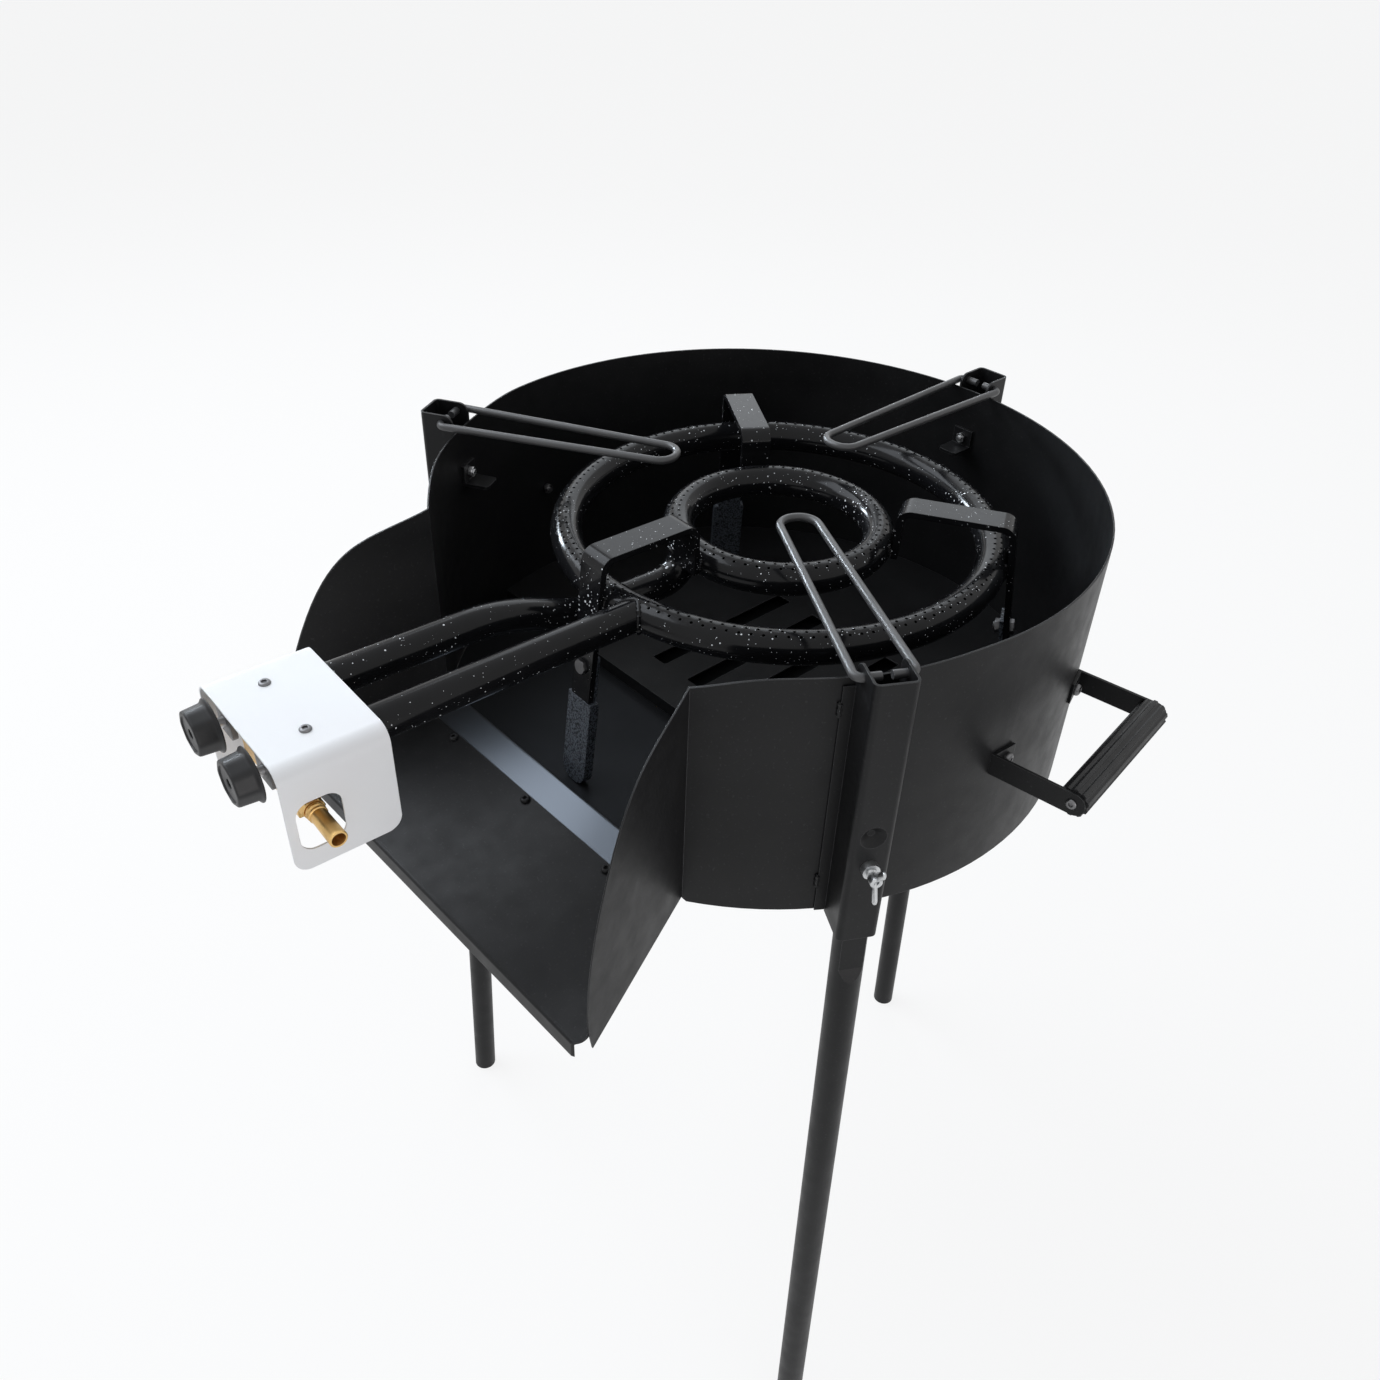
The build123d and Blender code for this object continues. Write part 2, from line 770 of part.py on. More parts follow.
def burner_point(x, y, z):
    """Place given in the burner's frame."""
    return burner_frame.from_local_coords(Vector(x, y, z))


def across_plane(y):
    """Upright plane across the burner, x to the right, y up and facing the front."""
    return Plane(burner_point(0, y, 0), x_dir=burner_frame.x_dir, z_dir=-burner_frame.y_dir)


def along_plane(x):
    """Upright plane along the burner, x to the back, y up and facing right."""
    return Plane(burner_point(x, 0, 0), x_dir=burner_frame.y_dir, z_dir=burner_frame.x_dir)


def ring_front(side):
    """Where a feed tube meets the middle of its ring."""
    return -sqrt(feed_ring[side] ** 2 - feed_x[side] ** 2)


with BuildPart() as outer_ring:
    with Locations((burner_x, burner_y, ring_z)):
        Torus(outer_r, ring_r)
save(outer_ring, "outer_ring")

with BuildPart() as inner_ring:
    with Locations((burner_x, burner_y, ring_z)):
        Torus(inner_r, ring_r)
save(inner_ring, "inner_ring")

with BuildPart() as outer_feed_tube:
    with BuildSketch(across_plane(ring_front("right"))):
        with Locations((feed_x["right"], ring_z)):
            Circle(feed_r)
            Circle(feed_r - feed_wall, mode=Mode.SUBTRACT)
    extrude(amount=ring_front("right") - feed_mouth)
    with Locations((burner_x, burner_y, ring_z)):
        Torus(outer_r, ring_r + weld_gap, mode=Mode.SUBTRACT)
save(outer_feed_tube, "outer_feed_tube")

with BuildPart() as inner_feed_tube:
    with BuildLine(along_plane(feed_x["left"])):
        FilletPolyline(
            (feed_mouth, ring_z),
            (dip_y, ring_z),
            (dip_y + dip_run, dip_z),
            (ring_front("left"), dip_z),
            (ring_front("left"), ring_z + fit_gap),
            radius=[dip_bend, dip_end_bend, rise_bend],
        )
    with BuildSketch(across_plane(feed_mouth)):
        with Locations((feed_x["left"], ring_z)):
            Circle(feed_r)
            Circle(feed_r - feed_wall, mode=Mode.SUBTRACT)
    sweep()
    with Locations((burner_x, burner_y, ring_z)):
        Torus(inner_r, ring_r + weld_gap, mode=Mode.SUBTRACT)
save(inner_feed_tube, "inner_feed_tube")

# Bars over the rings: the outer end of each bar is a splayed leg
splay = radians(bar_splay)
bar_foot_x = outer_r + ring_r + weld_gap + bar_t / 2 / cos(splay)
bar_low_z = drum_z + bar_low_h
tang_face = bar_t / 2 + weld_gap  # of a foot, behind the middle of its leg
foot_back = foot_t - bar_t / 2


def leg_point(height, inward=0.0):
    """Point on the middle of a bar's leg at a height, moved square to the leg towards the burner."""
    x = bar_foot_x + (ring_z - height) * tan(splay)
    return (x - inward * cos(splay), height - inward * sin(splay))


def leg_plane(angle, height):
    """Plane square to a bar's leg, facing out, at a height."""
    x, z = leg_point(height)
    origin = Vector(burner_x, burner_y, z) + outward(angle) * x
    return Plane(origin, x_dir=sideways(angle), z_dir=outward(angle) * cos(splay) + UP * sin(splay))


def make_bar(angle):
    """Flat bar bent over both rings and down to a leg that narrows to its end."""
    inner_x = inner_r + ring_r + weld_gap + bar_t / 2
    taper_len = (bar_mid_z - bar_low_z) / cos(splay) - bar_bend
    with BuildPart() as bar:
        with BuildSketch(side_plane(angle, burner)):
            with BuildLine():
                FilletPolyline(
                    (inner_x, ring_z - bar_end_drop),
                    (inner_x, bar_mid_z),
                    leg_point(bar_mid_z),
                    leg_point(bar_low_z),
                    radius=bar_bend,
                )
            trace(line_width=bar_t)
        extrude(amount=bar_w / 2, both=True)
        with BuildSketch(leg_plane(angle, bar_low_z)):
            with BuildLine():
                Polyline(
                    (bar_end_w / 2, -bar_t),
                    (bar_w, -bar_t),
                    (bar_w, taper_len),
                    (bar_w / 2, taper_len),
                    close=True,
                )
            make_face()
            mirror(about=Plane.YZ)
        extrude(amount=bar_t, both=True, mode=Mode.SUBTRACT)
        with BuildSketch(leg_plane(angle, drum_z + foot_bolt_h)):
            Circle(foot_bolt_r + bolt_gap)
        extrude(amount=bar_t, both=True, mode=Mode.SUBTRACT)
    return bar


def make_foot(angle, seat):
    """Foot that carries on a bar's leg down to the floor, with a thin tang behind the leg."""
    toe = seat + foot_back * sin(splay) + weld_gap
    shoulder = bar_low_z - fit_gap
    tang_top = drum_z + tang_top_h
    with BuildPart() as foot:
        with BuildSketch(side_plane(angle, burner)):
            with BuildLine():
                Polyline(
                    leg_point(toe, -bar_t / 2),
                    leg_point(toe, foot_back),
                    leg_point(shoulder, foot_back),
                    leg_point(shoulder, -bar_t / 2),
                    close=True,
                )
            make_face()
        extrude(amount=foot_w / 2, both=True)
        end = foot.faces().sort_by(Axis.Z)[0]
        fillet(end.edges().filter_by(lambda edge: edge.length < foot_w / 2), foot_round)
        with BuildSketch(side_plane(angle, burner)):
            with BuildLine():
                Polyline(
                    leg_point(shoulder, tang_face),
                    leg_point(shoulder, foot_back),
                    leg_point(tang_top, foot_back),
                    leg_point(tang_top, tang_face),
                    close=True,
                )
            make_face()
        extrude(amount=bar_end_w / 2, both=True)
        with BuildSketch(leg_plane(angle, drum_z + foot_bolt_h)):
            Circle(foot_bolt_r + bolt_gap)
        extrude(amount=-2 * foot_t, mode=Mode.SUBTRACT)
    return foot


foot_seats = {"front": pan_top, "right": baffle_top, "left": baffle_top}
for name, angle in bar_angles.items():
    save(make_bar(angle + burner_turn), f"support_bar_{name}")
    save(make_foot(angle + burner_turn, foot_seats[name]), f"foot_{name}")

with BuildPart() as foot_bolts:
    for angle in bar_angles.values():
        seat = leg_plane(angle + burner_turn, drum_z + foot_bolt_h)
        head = bar_t / 2 + weld_gap
        nut = foot_back + weld_gap
        with BuildSketch(seat.offset(head)):
            RegularPolygon(head_k * foot_bolt_r, 6)
        extrude(amount=head_h)
        with BuildSketch(seat.offset(head)):
            Circle(foot_bolt_r)
        extrude(amount=-head - nut)
        with BuildSketch(seat.offset(-nut)):
            RegularPolygon(head_k * foot_bolt_r, 6)
        extrude(amount=-nut_h)
save(foot_bolts, "foot_bolts")

# Taps in line with the feed tubes, from the gas rail to the knobs
with BuildPart() as gas_rail:
    with BuildSketch(along_plane(rail_left)):
        with Locations((rail_y, rail_z)):
            RectangleRounded(rail_w, rail_w, rail_round)
    extrude(amount=rail_right - rail_left)
save(gas_rail, "gas_rail")

with BuildPart() as hose_tail:
    with BuildSketch(along_plane(rail_right)):
        with Locations((rail_y, rail_z)):
            RegularPolygon(tail_hex, 6)
    extrude(amount=tail_hex_len)
    with BuildSketch(along_plane(rail_right + tail_hex_len)):
        with Locations((rail_y, rail_z)):
            Circle(tail_r)
    extrude(amount=tail_len)
    with BuildSketch(along_plane(rail_right)):
        with Locations((rail_y, rail_z)):
            Circle(tail_bore_r)
    extrude(amount=tail_hex_len + tail_len, mode=Mode.SUBTRACT)
save(hose_tail, "hose_tail")


def along_tap(start, end, radius, x, bore=0.0, mode=Mode.ADD):
    """Round bar or sleeve along the burner at the height of the taps."""
    with BuildSketch(across_plane(max(start, end))) as section:
        with Locations((x, tap_z)):
            Circle(radius)
            if bore:
                Circle(bore, mode=Mode.SUBTRACT)
    extrude(section.sketch, amount=abs(end - start), mode=mode)


def make_tap_body(x):
    """Tap barrel on a stem from the rail, with a boss for the injector and a post for the cover's screw."""
    with BuildPart() as body:
        along_tap(barrel_front, barrel_back, barrel_r, x)
        along_tap(barrel_back, boss_front, boss_r, x)
        with BuildSketch(burner_frame.offset(rail_z + rail_w / 2)):
            with Locations((x, rail_y)):
                Circle(stem_r)
        extrude(amount=tap_z - rail_z - rail_w / 2)
        with BuildSketch(burner_frame.offset(tap_z)):
            with Locations((x, cover_screw_y)):
                Circle(screw_post_r)
        extrude(amount=cover_top - sheet - tap_z)
        along_tap(barrel_front, plug_back, plug_r + run_gap, x, mode=Mode.SUBTRACT)
        along_tap(boss_front - injector_len / 2, boss_front, injector_r + bolt_gap, x, mode=Mode.SUBTRACT)
        with BuildSketch(burner_frame.offset(cover_top - sheet)):
            with Locations((x, cover_screw_y)):
                Circle(cover_screw_r + bolt_gap)
        extrude(amount=-screw_post_r, mode=Mode.SUBTRACT)
    return body


def make_plug(x):
    """Turning plug of a tap, bored for its spindle and spring."""
    with BuildPart() as plug:
        along_tap(barrel_front + fit_gap, plug_back - fit_gap, plug_r, x)
        along_tap(barrel_front, spring_in, spindle_r + run_gap, x, mode=Mode.SUBTRACT)
    return plug


def make_spring(x):
    """Sleeve in the place of the coil that pushes the knob out."""
    with BuildPart() as spring:
        along_tap(spindle_in + fit_gap, spring_in - fit_gap, spindle_r, x, spindle_r - spring_wall)
    return spring


def make_spindle(x):
    """Round spindle from the plug to the knob."""
    with BuildPart() as spindle:
        along_tap(knob_back - knob_len, spindle_in, spindle_r, x)
    return spindle


def make_knob(x):
    """Knob with a round skirt, a faceted body and a dished face."""
    knob_face = knob_back - knob_skirt_t - knob_len
    with BuildPart() as knob:
        along_tap(knob_back - knob_skirt_t, knob_back, knob_skirt_r, x)
        with BuildSketch(across_plane(knob_back - knob_skirt_t)):
            with Locations((x, tap_z)):
                RegularPolygon(knob_r, knob_sides)
        extrude(amount=knob_len, taper=knob_taper)
        along_tap(knob_face, knob_face + knob_dish, knob_dish_r, x, mode=Mode.SUBTRACT)
        along_tap(knob_face, knob_face + knob_dish + knob_eye, knob_eye_r, x, mode=Mode.SUBTRACT)
        along_tap(knob_back - knob_len, knob_back, spindle_r + weld_gap, x, mode=Mode.SUBTRACT)
    return knob


def make_mixer(x):
    """Cup between an injector and its tube, with windows for the air."""
    radius = feed_r - feed_wall - weld_gap
    plate_back = boss_front + mixer_plate
    with BuildPart() as mixer:
        along_tap(boss_front, feed_mouth + mixer_in, radius, x)
        along_tap(plate_back, feed_mouth + mixer_in, radius - mixer_wall, x, mode=Mode.SUBTRACT)
        along_tap(boss_front, plate_back, injector_r + bolt_gap, x, mode=Mode.SUBTRACT)
        with BuildSketch(burner_frame.offset(tap_z)):
            with Locations((x, (feed_mouth + plate_back) / 2)):
                Rectangle(4 * radius, feed_mouth - plate_back - 2 * window_gap)
        extrude(amount=radius / 2, both=True, mode=Mode.SUBTRACT)
    return mixer


for side, x in feed_x.items():
    save(make_tap_body(x), f"tap_body_{side}")
    save(make_plug(x), f"tap_plug_{side}")
    save(make_spring(x), f"tap_spring_{side}")
    save(make_spindle(x), f"spindle_{side}")
    save(make_knob(x), f"knob_{side}")
    save(make_mixer(x), f"air_mixer_{side}")

with BuildPart() as tap_bonnets:
    for x in feed_x.values():
        with BuildSketch(across_plane(barrel_front)):
            with Locations((x, tap_z)):
                RectangleRounded(bonnet_w, bonnet_w, bonnet_t)
                Circle(spindle_r + run_gap, mode=Mode.SUBTRACT)
        extrude(amount=bonnet_t)
save(tap_bonnets, "tap_bonnets")

with BuildPart() as injectors:
    for x in feed_x.values():
        seat = boss_front + mixer_plate + weld_gap
        along_tap(seat - injector_len / 2, seat, injector_r, x)
        with BuildSketch(across_plane(seat + injector_hex_len)):
            with Locations((x, tap_z)):
                RegularPolygon(injector_hex, 6)
        extrude(amount=injector_hex_len)
        along_tap(seat + injector_hex_len, seat + injector_len, injector_tip_r, x)
save(injectors, "injectors")

with BuildPart() as control_shield:
    with BuildSketch(across_plane(cover_back)):
        left, right = cover_left + sheet / 2, cover_right - sheet / 2
        with BuildLine():
            FilletPolyline(
                (left, cover_low),
                (left, cover_top - sheet / 2),
                (right, cover_top - sheet / 2),
                (right, cover_low),
                radius=cover_bend,
            )
        trace(line_width=sheet)
    extrude(amount=cover_back - cover_front)
    across = Axis(burner_frame.origin, burner_frame.x_dir)
    fillet(control_shield.edges().filter_by(across).group_by(Axis.Z)[0], cover_corner)
    with BuildSketch(along_plane(rail_right)):
        with Locations((window_y, drum_z + window_h)):
            RectangleRounded(*window_size, window_corner)
    extrude(amount=drum_r, mode=Mode.SUBTRACT)
    with BuildSketch(burner_frame.offset(cover_top)):
        with Locations(*[(x, cover_screw_y) for x in feed_x.values()]):
            Circle(cover_screw_r + bolt_gap)
    extrude(amount=-2 * sheet, mode=Mode.SUBTRACT)
save(control_shield, "control_shield")

with BuildPart() as shield_screws:
    for x in feed_x.values():
        with BuildSketch(burner_frame.offset(cover_top + weld_gap)):
            with Locations((x, cover_screw_y)):
                Circle(head_k * cover_screw_r)
        extrude(amount=head_h / 2)
        with BuildSketch(burner_frame.offset(cover_top + weld_gap)):
            with Locations((x, cover_screw_y)):
                Circle(cover_screw_r)
        extrude(amount=-sheet - screw_post_r / 2)
save(shield_screws, "shield_screws")
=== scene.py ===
import json
import math

import bmesh
import bpy
from mathutils import Matrix, Vector


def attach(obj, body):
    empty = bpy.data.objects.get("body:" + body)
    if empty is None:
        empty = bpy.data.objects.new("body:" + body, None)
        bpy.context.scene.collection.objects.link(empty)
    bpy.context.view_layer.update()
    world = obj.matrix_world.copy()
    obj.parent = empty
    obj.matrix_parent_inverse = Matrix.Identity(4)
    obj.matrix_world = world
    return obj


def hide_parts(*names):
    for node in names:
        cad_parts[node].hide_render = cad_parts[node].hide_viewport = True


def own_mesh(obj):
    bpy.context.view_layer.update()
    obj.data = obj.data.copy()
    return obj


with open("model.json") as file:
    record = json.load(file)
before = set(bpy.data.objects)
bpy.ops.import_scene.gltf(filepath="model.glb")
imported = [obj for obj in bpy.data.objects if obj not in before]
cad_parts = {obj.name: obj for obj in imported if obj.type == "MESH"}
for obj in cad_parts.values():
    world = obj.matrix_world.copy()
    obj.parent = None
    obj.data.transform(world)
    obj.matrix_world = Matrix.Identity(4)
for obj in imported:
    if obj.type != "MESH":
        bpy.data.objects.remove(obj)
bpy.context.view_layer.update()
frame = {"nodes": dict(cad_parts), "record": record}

MM = 0.001
UP = Vector((0, 0, 1))

# Places and sizes of the part, in millimetres
BURNER = Vector((11, 8, 956.5))
BURNER_TURN = -2.8
RING_TUBE = 14.5
RING_RADIUS = {"outer": 193, "inner": 91.5}
FEED_TUBE = 14
FEED_X = {"left": -27.8, "right": 38.2}
INNER_FEED_Y = -87.17
BAR_ANGLES = {"front": -92.8, "right": 31.0, "left": 147.0}
BAR_WIDTH = 28
BAR_SPLAY = math.radians(6.9)
STATIONS = {"right": -30, "back": 90, "left": 210}
HANDLES = (7.6, 173.4)
RIDGE_Y = -246  # the ridge across the mouth lies in front of this
RIDGE_FADE = 2  # breadth of the change between the two coats

# Flame ports; angles in degrees round the tube
PORT_COUNT = {"outer": 128, "inner": 60}
PORT_ROWS = (-1.0, 23.0)  # angle of each row outward from the top of the tube
PORT_CELL = 24.0  # width of a row
PORT_RADIUS = 1.3
PORT_DEPTH = 2.0
PORT_SIDES = 8
TUBE_STEP = 12.0  # between loops of the plain part

# Meshes
SIDES = 24  # corners of a round loop
SHARP_ANGLE = math.radians(40)
UNCUT = 2.0  # leaves the corners of a hexagon whole

# Textures: scales in cells for each metre
CLOUD_SCALE = 9
SMEAR_SCALE = 55
DUST_SCALE = 420
COAT_GRAIN = 1500
ENAMEL_CROWD = 22
ENAMEL_CLOUD = 40
ENAMEL_SMEAR = 120
ENAMEL_WAVE = 160
HAMMER_CELL = 620
HAMMER_GRAIN = 800
TURNED_LINES = 900
TURNED_STAIN = 70
TURNED_SMEAR = 160

# Edges: radius of the rounding, and share of the lighter edge colour, partly wear and partly a painted
# highlight along the edges
COAT_EDGE = 0.6 * MM
ENAMEL_EDGE = 0.9 * MM
HAMMER_EDGE = 1.2 * MM
TURNED_EDGE = 0.3 * MM
EDGE_SAMPLES = 4
EDGE_WEAR_AND_HIGHLIGHT = 0.8

# Colours of the black coat, and tint of its gleam on the ridge
BLACK_DARK = (0.006, 0.006, 0.0065)
BLACK_LIGHT = (0.010, 0.010, 0.0105)
RIDGE_TINT = (0.76, 0.86, 1.0, 1.0)

# Specks of the enamel: scale, share of the cells that have one, largest size in a cell
LARGE_SPECKS = (210, 0.95, 0.20)
SMALL_SPECKS = (400, 0.4, 0.26)
SPATTER_SPECKS = (300, 1.0, 0.34)
SPECK_EDGE = 0.02

# Places where the enamel is spattered most: middle in millimetres, reach in metres
SPATTER_CORE = 0.45  # share of the reach that is spattered fully
SPATTER = (
    ((2, -204, 944), 0.052),
    ((-10, -98, 950), 0.040),
    ((100, 160, 952), 0.045),
    ((40, 82, 958), 0.036),
)


# Node helpers


def new_material(name):
    """Empty node material with a principled shader; returns its tree and shader too."""
    material = bpy.data.materials.new(name)
    material.use_nodes = True
    tree = material.node_tree
    tree.nodes.clear()
    shader = tree.nodes.new("ShaderNodeBsdfPrincipled")
    output = tree.nodes.new("ShaderNodeOutputMaterial")
    tree.links.new(shader.outputs["BSDF"], output.inputs["Surface"])
    return material, tree, shader


def put(tree, socket, value):
    """Link an output to a socket, or set a plain value on it."""
    if isinstance(value, bpy.types.NodeSocket):
        tree.links.new(value, socket)
    else:
        socket.default_value = value


def place(tree, stretch=(1, 1, 1)):
    """Place on the object in metres, stretched along its axes."""
    coordinates = tree.nodes.new("ShaderNodeTexCoord").outputs["Object"]
    if stretch == (1, 1, 1):
        return coordinates
    mapping = tree.nodes.new("ShaderNodeMapping")
    mapping.inputs["Scale"].default_value = stretch
    tree.links.new(coordinates, mapping.inputs["Vector"])
    return mapping.outputs["Vector"]


def noise(tree, scale, detail=3.0, stretch=(1, 1, 1)):
    node = tree.nodes.new("ShaderNodeTexNoise")
    node.inputs["Scale"].default_value = scale
    node.inputs["Detail"].default_value = detail
    tree.links.new(place(tree, stretch), node.inputs["Vector"])
    return node.outputs["Fac"]


def cells(tree, scale, feature="F1"):
    """Voronoi cells; returns the distance and a random colour per cell."""
    node = tree.nodes.new("ShaderNodeTexVoronoi")
    node.feature = feature
    node.inputs["Scale"].default_value = scale
    tree.links.new(place(tree), node.inputs["Vector"])
    return node.outputs["Distance"], node.outputs["Color"]


def ranged(tree, value, start, end, low=0.0, high=1.0):
    """Value from start to end mapped to low to high, clamped."""
    node = tree.nodes.new("ShaderNodeMapRange")
    put(tree, node.inputs["Value"], value)
    put(tree, node.inputs["From Min"], start)
    put(tree, node.inputs["From Max"], end)
    put(tree, node.inputs["To Min"], low)
    put(tree, node.inputs["To Max"], high)
    return node.outputs["Result"]


def sums(tree, kind, first, second):
    node = tree.nodes.new("ShaderNodeMath")
    node.operation = kind
    put(tree, node.inputs[0], first)
    put(tree, node.inputs[1], second)
    return node.outputs["Value"]


def mixed(tree, factor, first, second):
    """Colour between two colours."""
    node = tree.nodes.new("ShaderNodeMix")
    node.data_type = "RGBA"
    put(tree, node.inputs["Factor"], factor)
    colours = [socket for socket in node.inputs if socket.type == "RGBA"]
    for socket, value in zip(colours, (first, second)):
        put(tree, socket, (*value, 1.0) if isinstance(value, tuple) else value)
    return next(socket for socket in node.outputs if socket.type == "RGBA")


def rounded(tree, radius):
    """Normal of edges rounded to a small radius."""
    node = tree.nodes.new("ShaderNodeBevel")
    node.samples = EDGE_SAMPLES
    node.inputs["Radius"].default_value = radius
    return node.outputs["Normal"]


def edge_mask(tree, normal, reach=0.12):
    """1 on rounded edges, 0 on flat faces."""
    geometry = tree.nodes.new("ShaderNodeNewGeometry")
    dot = tree.nodes.new("ShaderNodeVectorMath")
    dot.operation = "DOT_PRODUCT"
    tree.links.new(normal, dot.inputs[0])
    tree.links.new(geometry.outputs["Normal"], dot.inputs[1])
    return ranged(tree, dot.outputs["Value"], 1.0, 1.0 - reach)


def bumped(tree, height, depth, normal=None):
    node = tree.nodes.new("ShaderNodeBump")
    node.inputs["Distance"].default_value = depth
    tree.links.new(height, node.inputs["Height"])
    if normal is not None:
        tree.links.new(normal, node.inputs["Normal"])
    return node.outputs["Normal"]


def nearness(tree, spots):
    """1 in the core of the nearest spot, 0 beyond its reach."""
    near = None
    for middle, reach in spots:
        apart = tree.nodes.new("ShaderNodeVectorMath")
        apart.operation = "DISTANCE"
        tree.links.new(place(tree), apart.inputs[0])
        apart.inputs[1].default_value = Vector(middle) * MM
        spot = ranged(tree, apart.outputs["Value"], SPATTER_CORE * reach, reach, 1.0, 0.0)
        near = spot if near is None else sums(tree, "MAXIMUM", near, spot)
    return near


# Materials


def painted(name, dark, light, worn_and_highlight, rough, specular, grain, grain_depth, edge=COAT_EDGE, metallic=0.0):
    """Coated, moulded or plated surface: cloudy colour, fine grain and rounded edges painted lighter, partly
    as wear and partly as a painted highlight.
    """
    material, tree, shader = new_material(name)
    soft = rounded(tree, edge)
    cloud = ranged(tree, noise(tree, CLOUD_SCALE, 5), 0.35, 0.65)
    dust = ranged(tree, noise(tree, DUST_SCALE, 2), 0.62, 0.8, 0.0, 0.15)
    colour = mixed(tree, cloud, dark, light)
    colour = mixed(tree, dust, colour, worn_and_highlight)
    # Lighter edges: partly wear, partly a painted highlight along them
    colour = mixed(tree, sums(tree, "MULTIPLY", edge_mask(tree, soft), EDGE_WEAR_AND_HIGHLIGHT), colour, worn_and_highlight)
    put(tree, shader.inputs["Base Color"], colour)
    put(tree, shader.inputs["Roughness"], ranged(tree, noise(tree, SMEAR_SCALE, 4), 0.3, 0.7, *rough))
    put(tree, shader.inputs["Normal"], bumped(tree, noise(tree, grain, 2), grain_depth, soft))
    shader.inputs["Specular IOR Level"].default_value = specular
    shader.inputs["Metallic"].default_value = metallic
    return material


def pan_coat(name):
    """Black coat of the pan, dull on the floor, with a blue gleam on the ridge across the mouth."""
    material, tree, shader = new_material(name)
    soft = rounded(tree, COAT_EDGE)
    axes = tree.nodes.new("ShaderNodeSeparateXYZ")
    tree.links.new(place(tree), axes.inputs["Vector"])
    ridge = ranged(tree, axes.outputs["Y"], RIDGE_Y * MM, (RIDGE_Y - RIDGE_FADE) * MM)
    cloud = ranged(tree, noise(tree, CLOUD_SCALE, 5), 0.35, 0.65)
    colour = mixed(tree, cloud, BLACK_DARK, BLACK_LIGHT)
    # Lighter edges: partly wear, partly a painted highlight along them
    wear_and_highlight = sums(tree, "MULTIPLY", edge_mask(tree, soft), EDGE_WEAR_AND_HIGHLIGHT)
    colour = mixed(tree, wear_and_highlight, colour, (0.08, 0.08, 0.082))
    put(tree, shader.inputs["Base Color"], colour)
    put(tree, shader.inputs["Roughness"], ranged(tree, ridge, 0.0, 1.0, 0.44, 0.30))
    put(tree, shader.inputs["Specular IOR Level"], ranged(tree, ridge, 0.0, 1.0, 0.16, 0.95))
    put(tree, shader.inputs["Normal"], bumped(tree, noise(tree, COAT_GRAIN, 2), 0.03 * MM, soft))
    shader.inputs["Specular Tint"].default_value = RIDGE_TINT
    return material


def speckle(tree, scale, share, largest, crowd):
    """Round specks, at most one in each cell, larger where they crowd."""
    distance, colour = cells(tree, scale)
    chance = tree.nodes.new("ShaderNodeSeparateColor")
    tree.links.new(colour, chance.inputs["Color"])
    size = ranged(tree, chance.outputs["Red"], 1.0 - share, 1.0, 0.0, largest)
    size = sums(tree, "MULTIPLY", size, crowd)
    return ranged(tree, sums(tree, "SUBTRACT", size, distance), 0.0, SPECK_EDGE)


def enamel(name):
    """Glossy black enamel with white specks of many sizes, dense in some places."""
    material, tree, shader = new_material(name)
    soft = rounded(tree, ENAMEL_EDGE)
    crowd = ranged(tree, noise(tree, ENAMEL_CROWD, 2), 0.38, 0.66, 0.5, 1.0)
    specks = speckle(tree, *LARGE_SPECKS, crowd)
    specks = sums(tree, "MAXIMUM", specks, speckle(tree, *SMALL_SPECKS, crowd))
    specks = sums(tree, "MAXIMUM", specks, speckle(tree, *SPATTER_SPECKS, nearness(tree, SPATTER)))
    black = mixed(tree, noise(tree, ENAMEL_CLOUD, 3), (0.004, 0.004, 0.0045), (0.010, 0.010, 0.011))
    put(tree, shader.inputs["Base Color"], mixed(tree, specks, black, (0.80, 0.81, 0.82)))
    put(tree, shader.inputs["Roughness"], ranged(tree, noise(tree, ENAMEL_SMEAR, 3), 0.3, 0.7, 0.12, 0.22))
    waves = sums(tree, "ADD", noise(tree, ENAMEL_WAVE, 2), sums(tree, "MULTIPLY", specks, 0.8))
    put(tree, shader.inputs["Normal"], bumped(tree, waves, 0.06 * MM, soft))
    shader.inputs["Specular IOR Level"].default_value = 0.13
    shader.inputs["Coat Weight"].default_value = 0.1
    shader.inputs["Coat Roughness"].default_value = 0.06
    return material


def hammered(name):
    """Hammer-finish paint: pale blue-grey islands in a dark net."""
    material, tree, shader = new_material(name)
    soft = rounded(tree, HAMMER_EDGE)
    distance, _ = cells(tree, HAMMER_CELL, "SMOOTH_F1")
    uneven = sums(tree, "ADD", distance, noise(tree, HAMMER_GRAIN, 2))
    islands = ranged(tree, uneven, 0.75, 1.1, 1.0, 0.0)
    put(tree, shader.inputs["Base Color"], mixed(tree, islands, (0.014, 0.017, 0.020), (0.12, 0.135, 0.16)))
    put(tree, shader.inputs["Roughness"], ranged(tree, islands, 0.0, 1.0, 0.44, 0.28))
    put(tree, shader.inputs["Normal"], bumped(tree, islands, 0.3 * MM, soft))
    shader.inputs["Metallic"].default_value = 0.25
    return material


def turned(name, dark, light, tarnish, rough, lines_along):
    """Turned or drawn metal with fine lines and a little tarnish."""
    material, tree, shader = new_material(name)
    soft = rounded(tree, TURNED_EDGE)
    lines = noise(tree, TURNED_LINES, 2, lines_along)
    stain = ranged(tree, noise(tree, TURNED_STAIN, 3), 0.5, 0.8, 0.0, 0.7)
    colour = mixed(tree, lines, dark, light)
    put(tree, shader.inputs["Base Color"], mixed(tree, stain, colour, tarnish))
    put(tree, shader.inputs["Roughness"], ranged(tree, noise(tree, TURNED_SMEAR, 3), 0.3, 0.7, *rough))
    put(tree, shader.inputs["Normal"], bumped(tree, lines, 0.03 * MM, soft))
    shader.inputs["Metallic"].default_value = 1.0
    return material
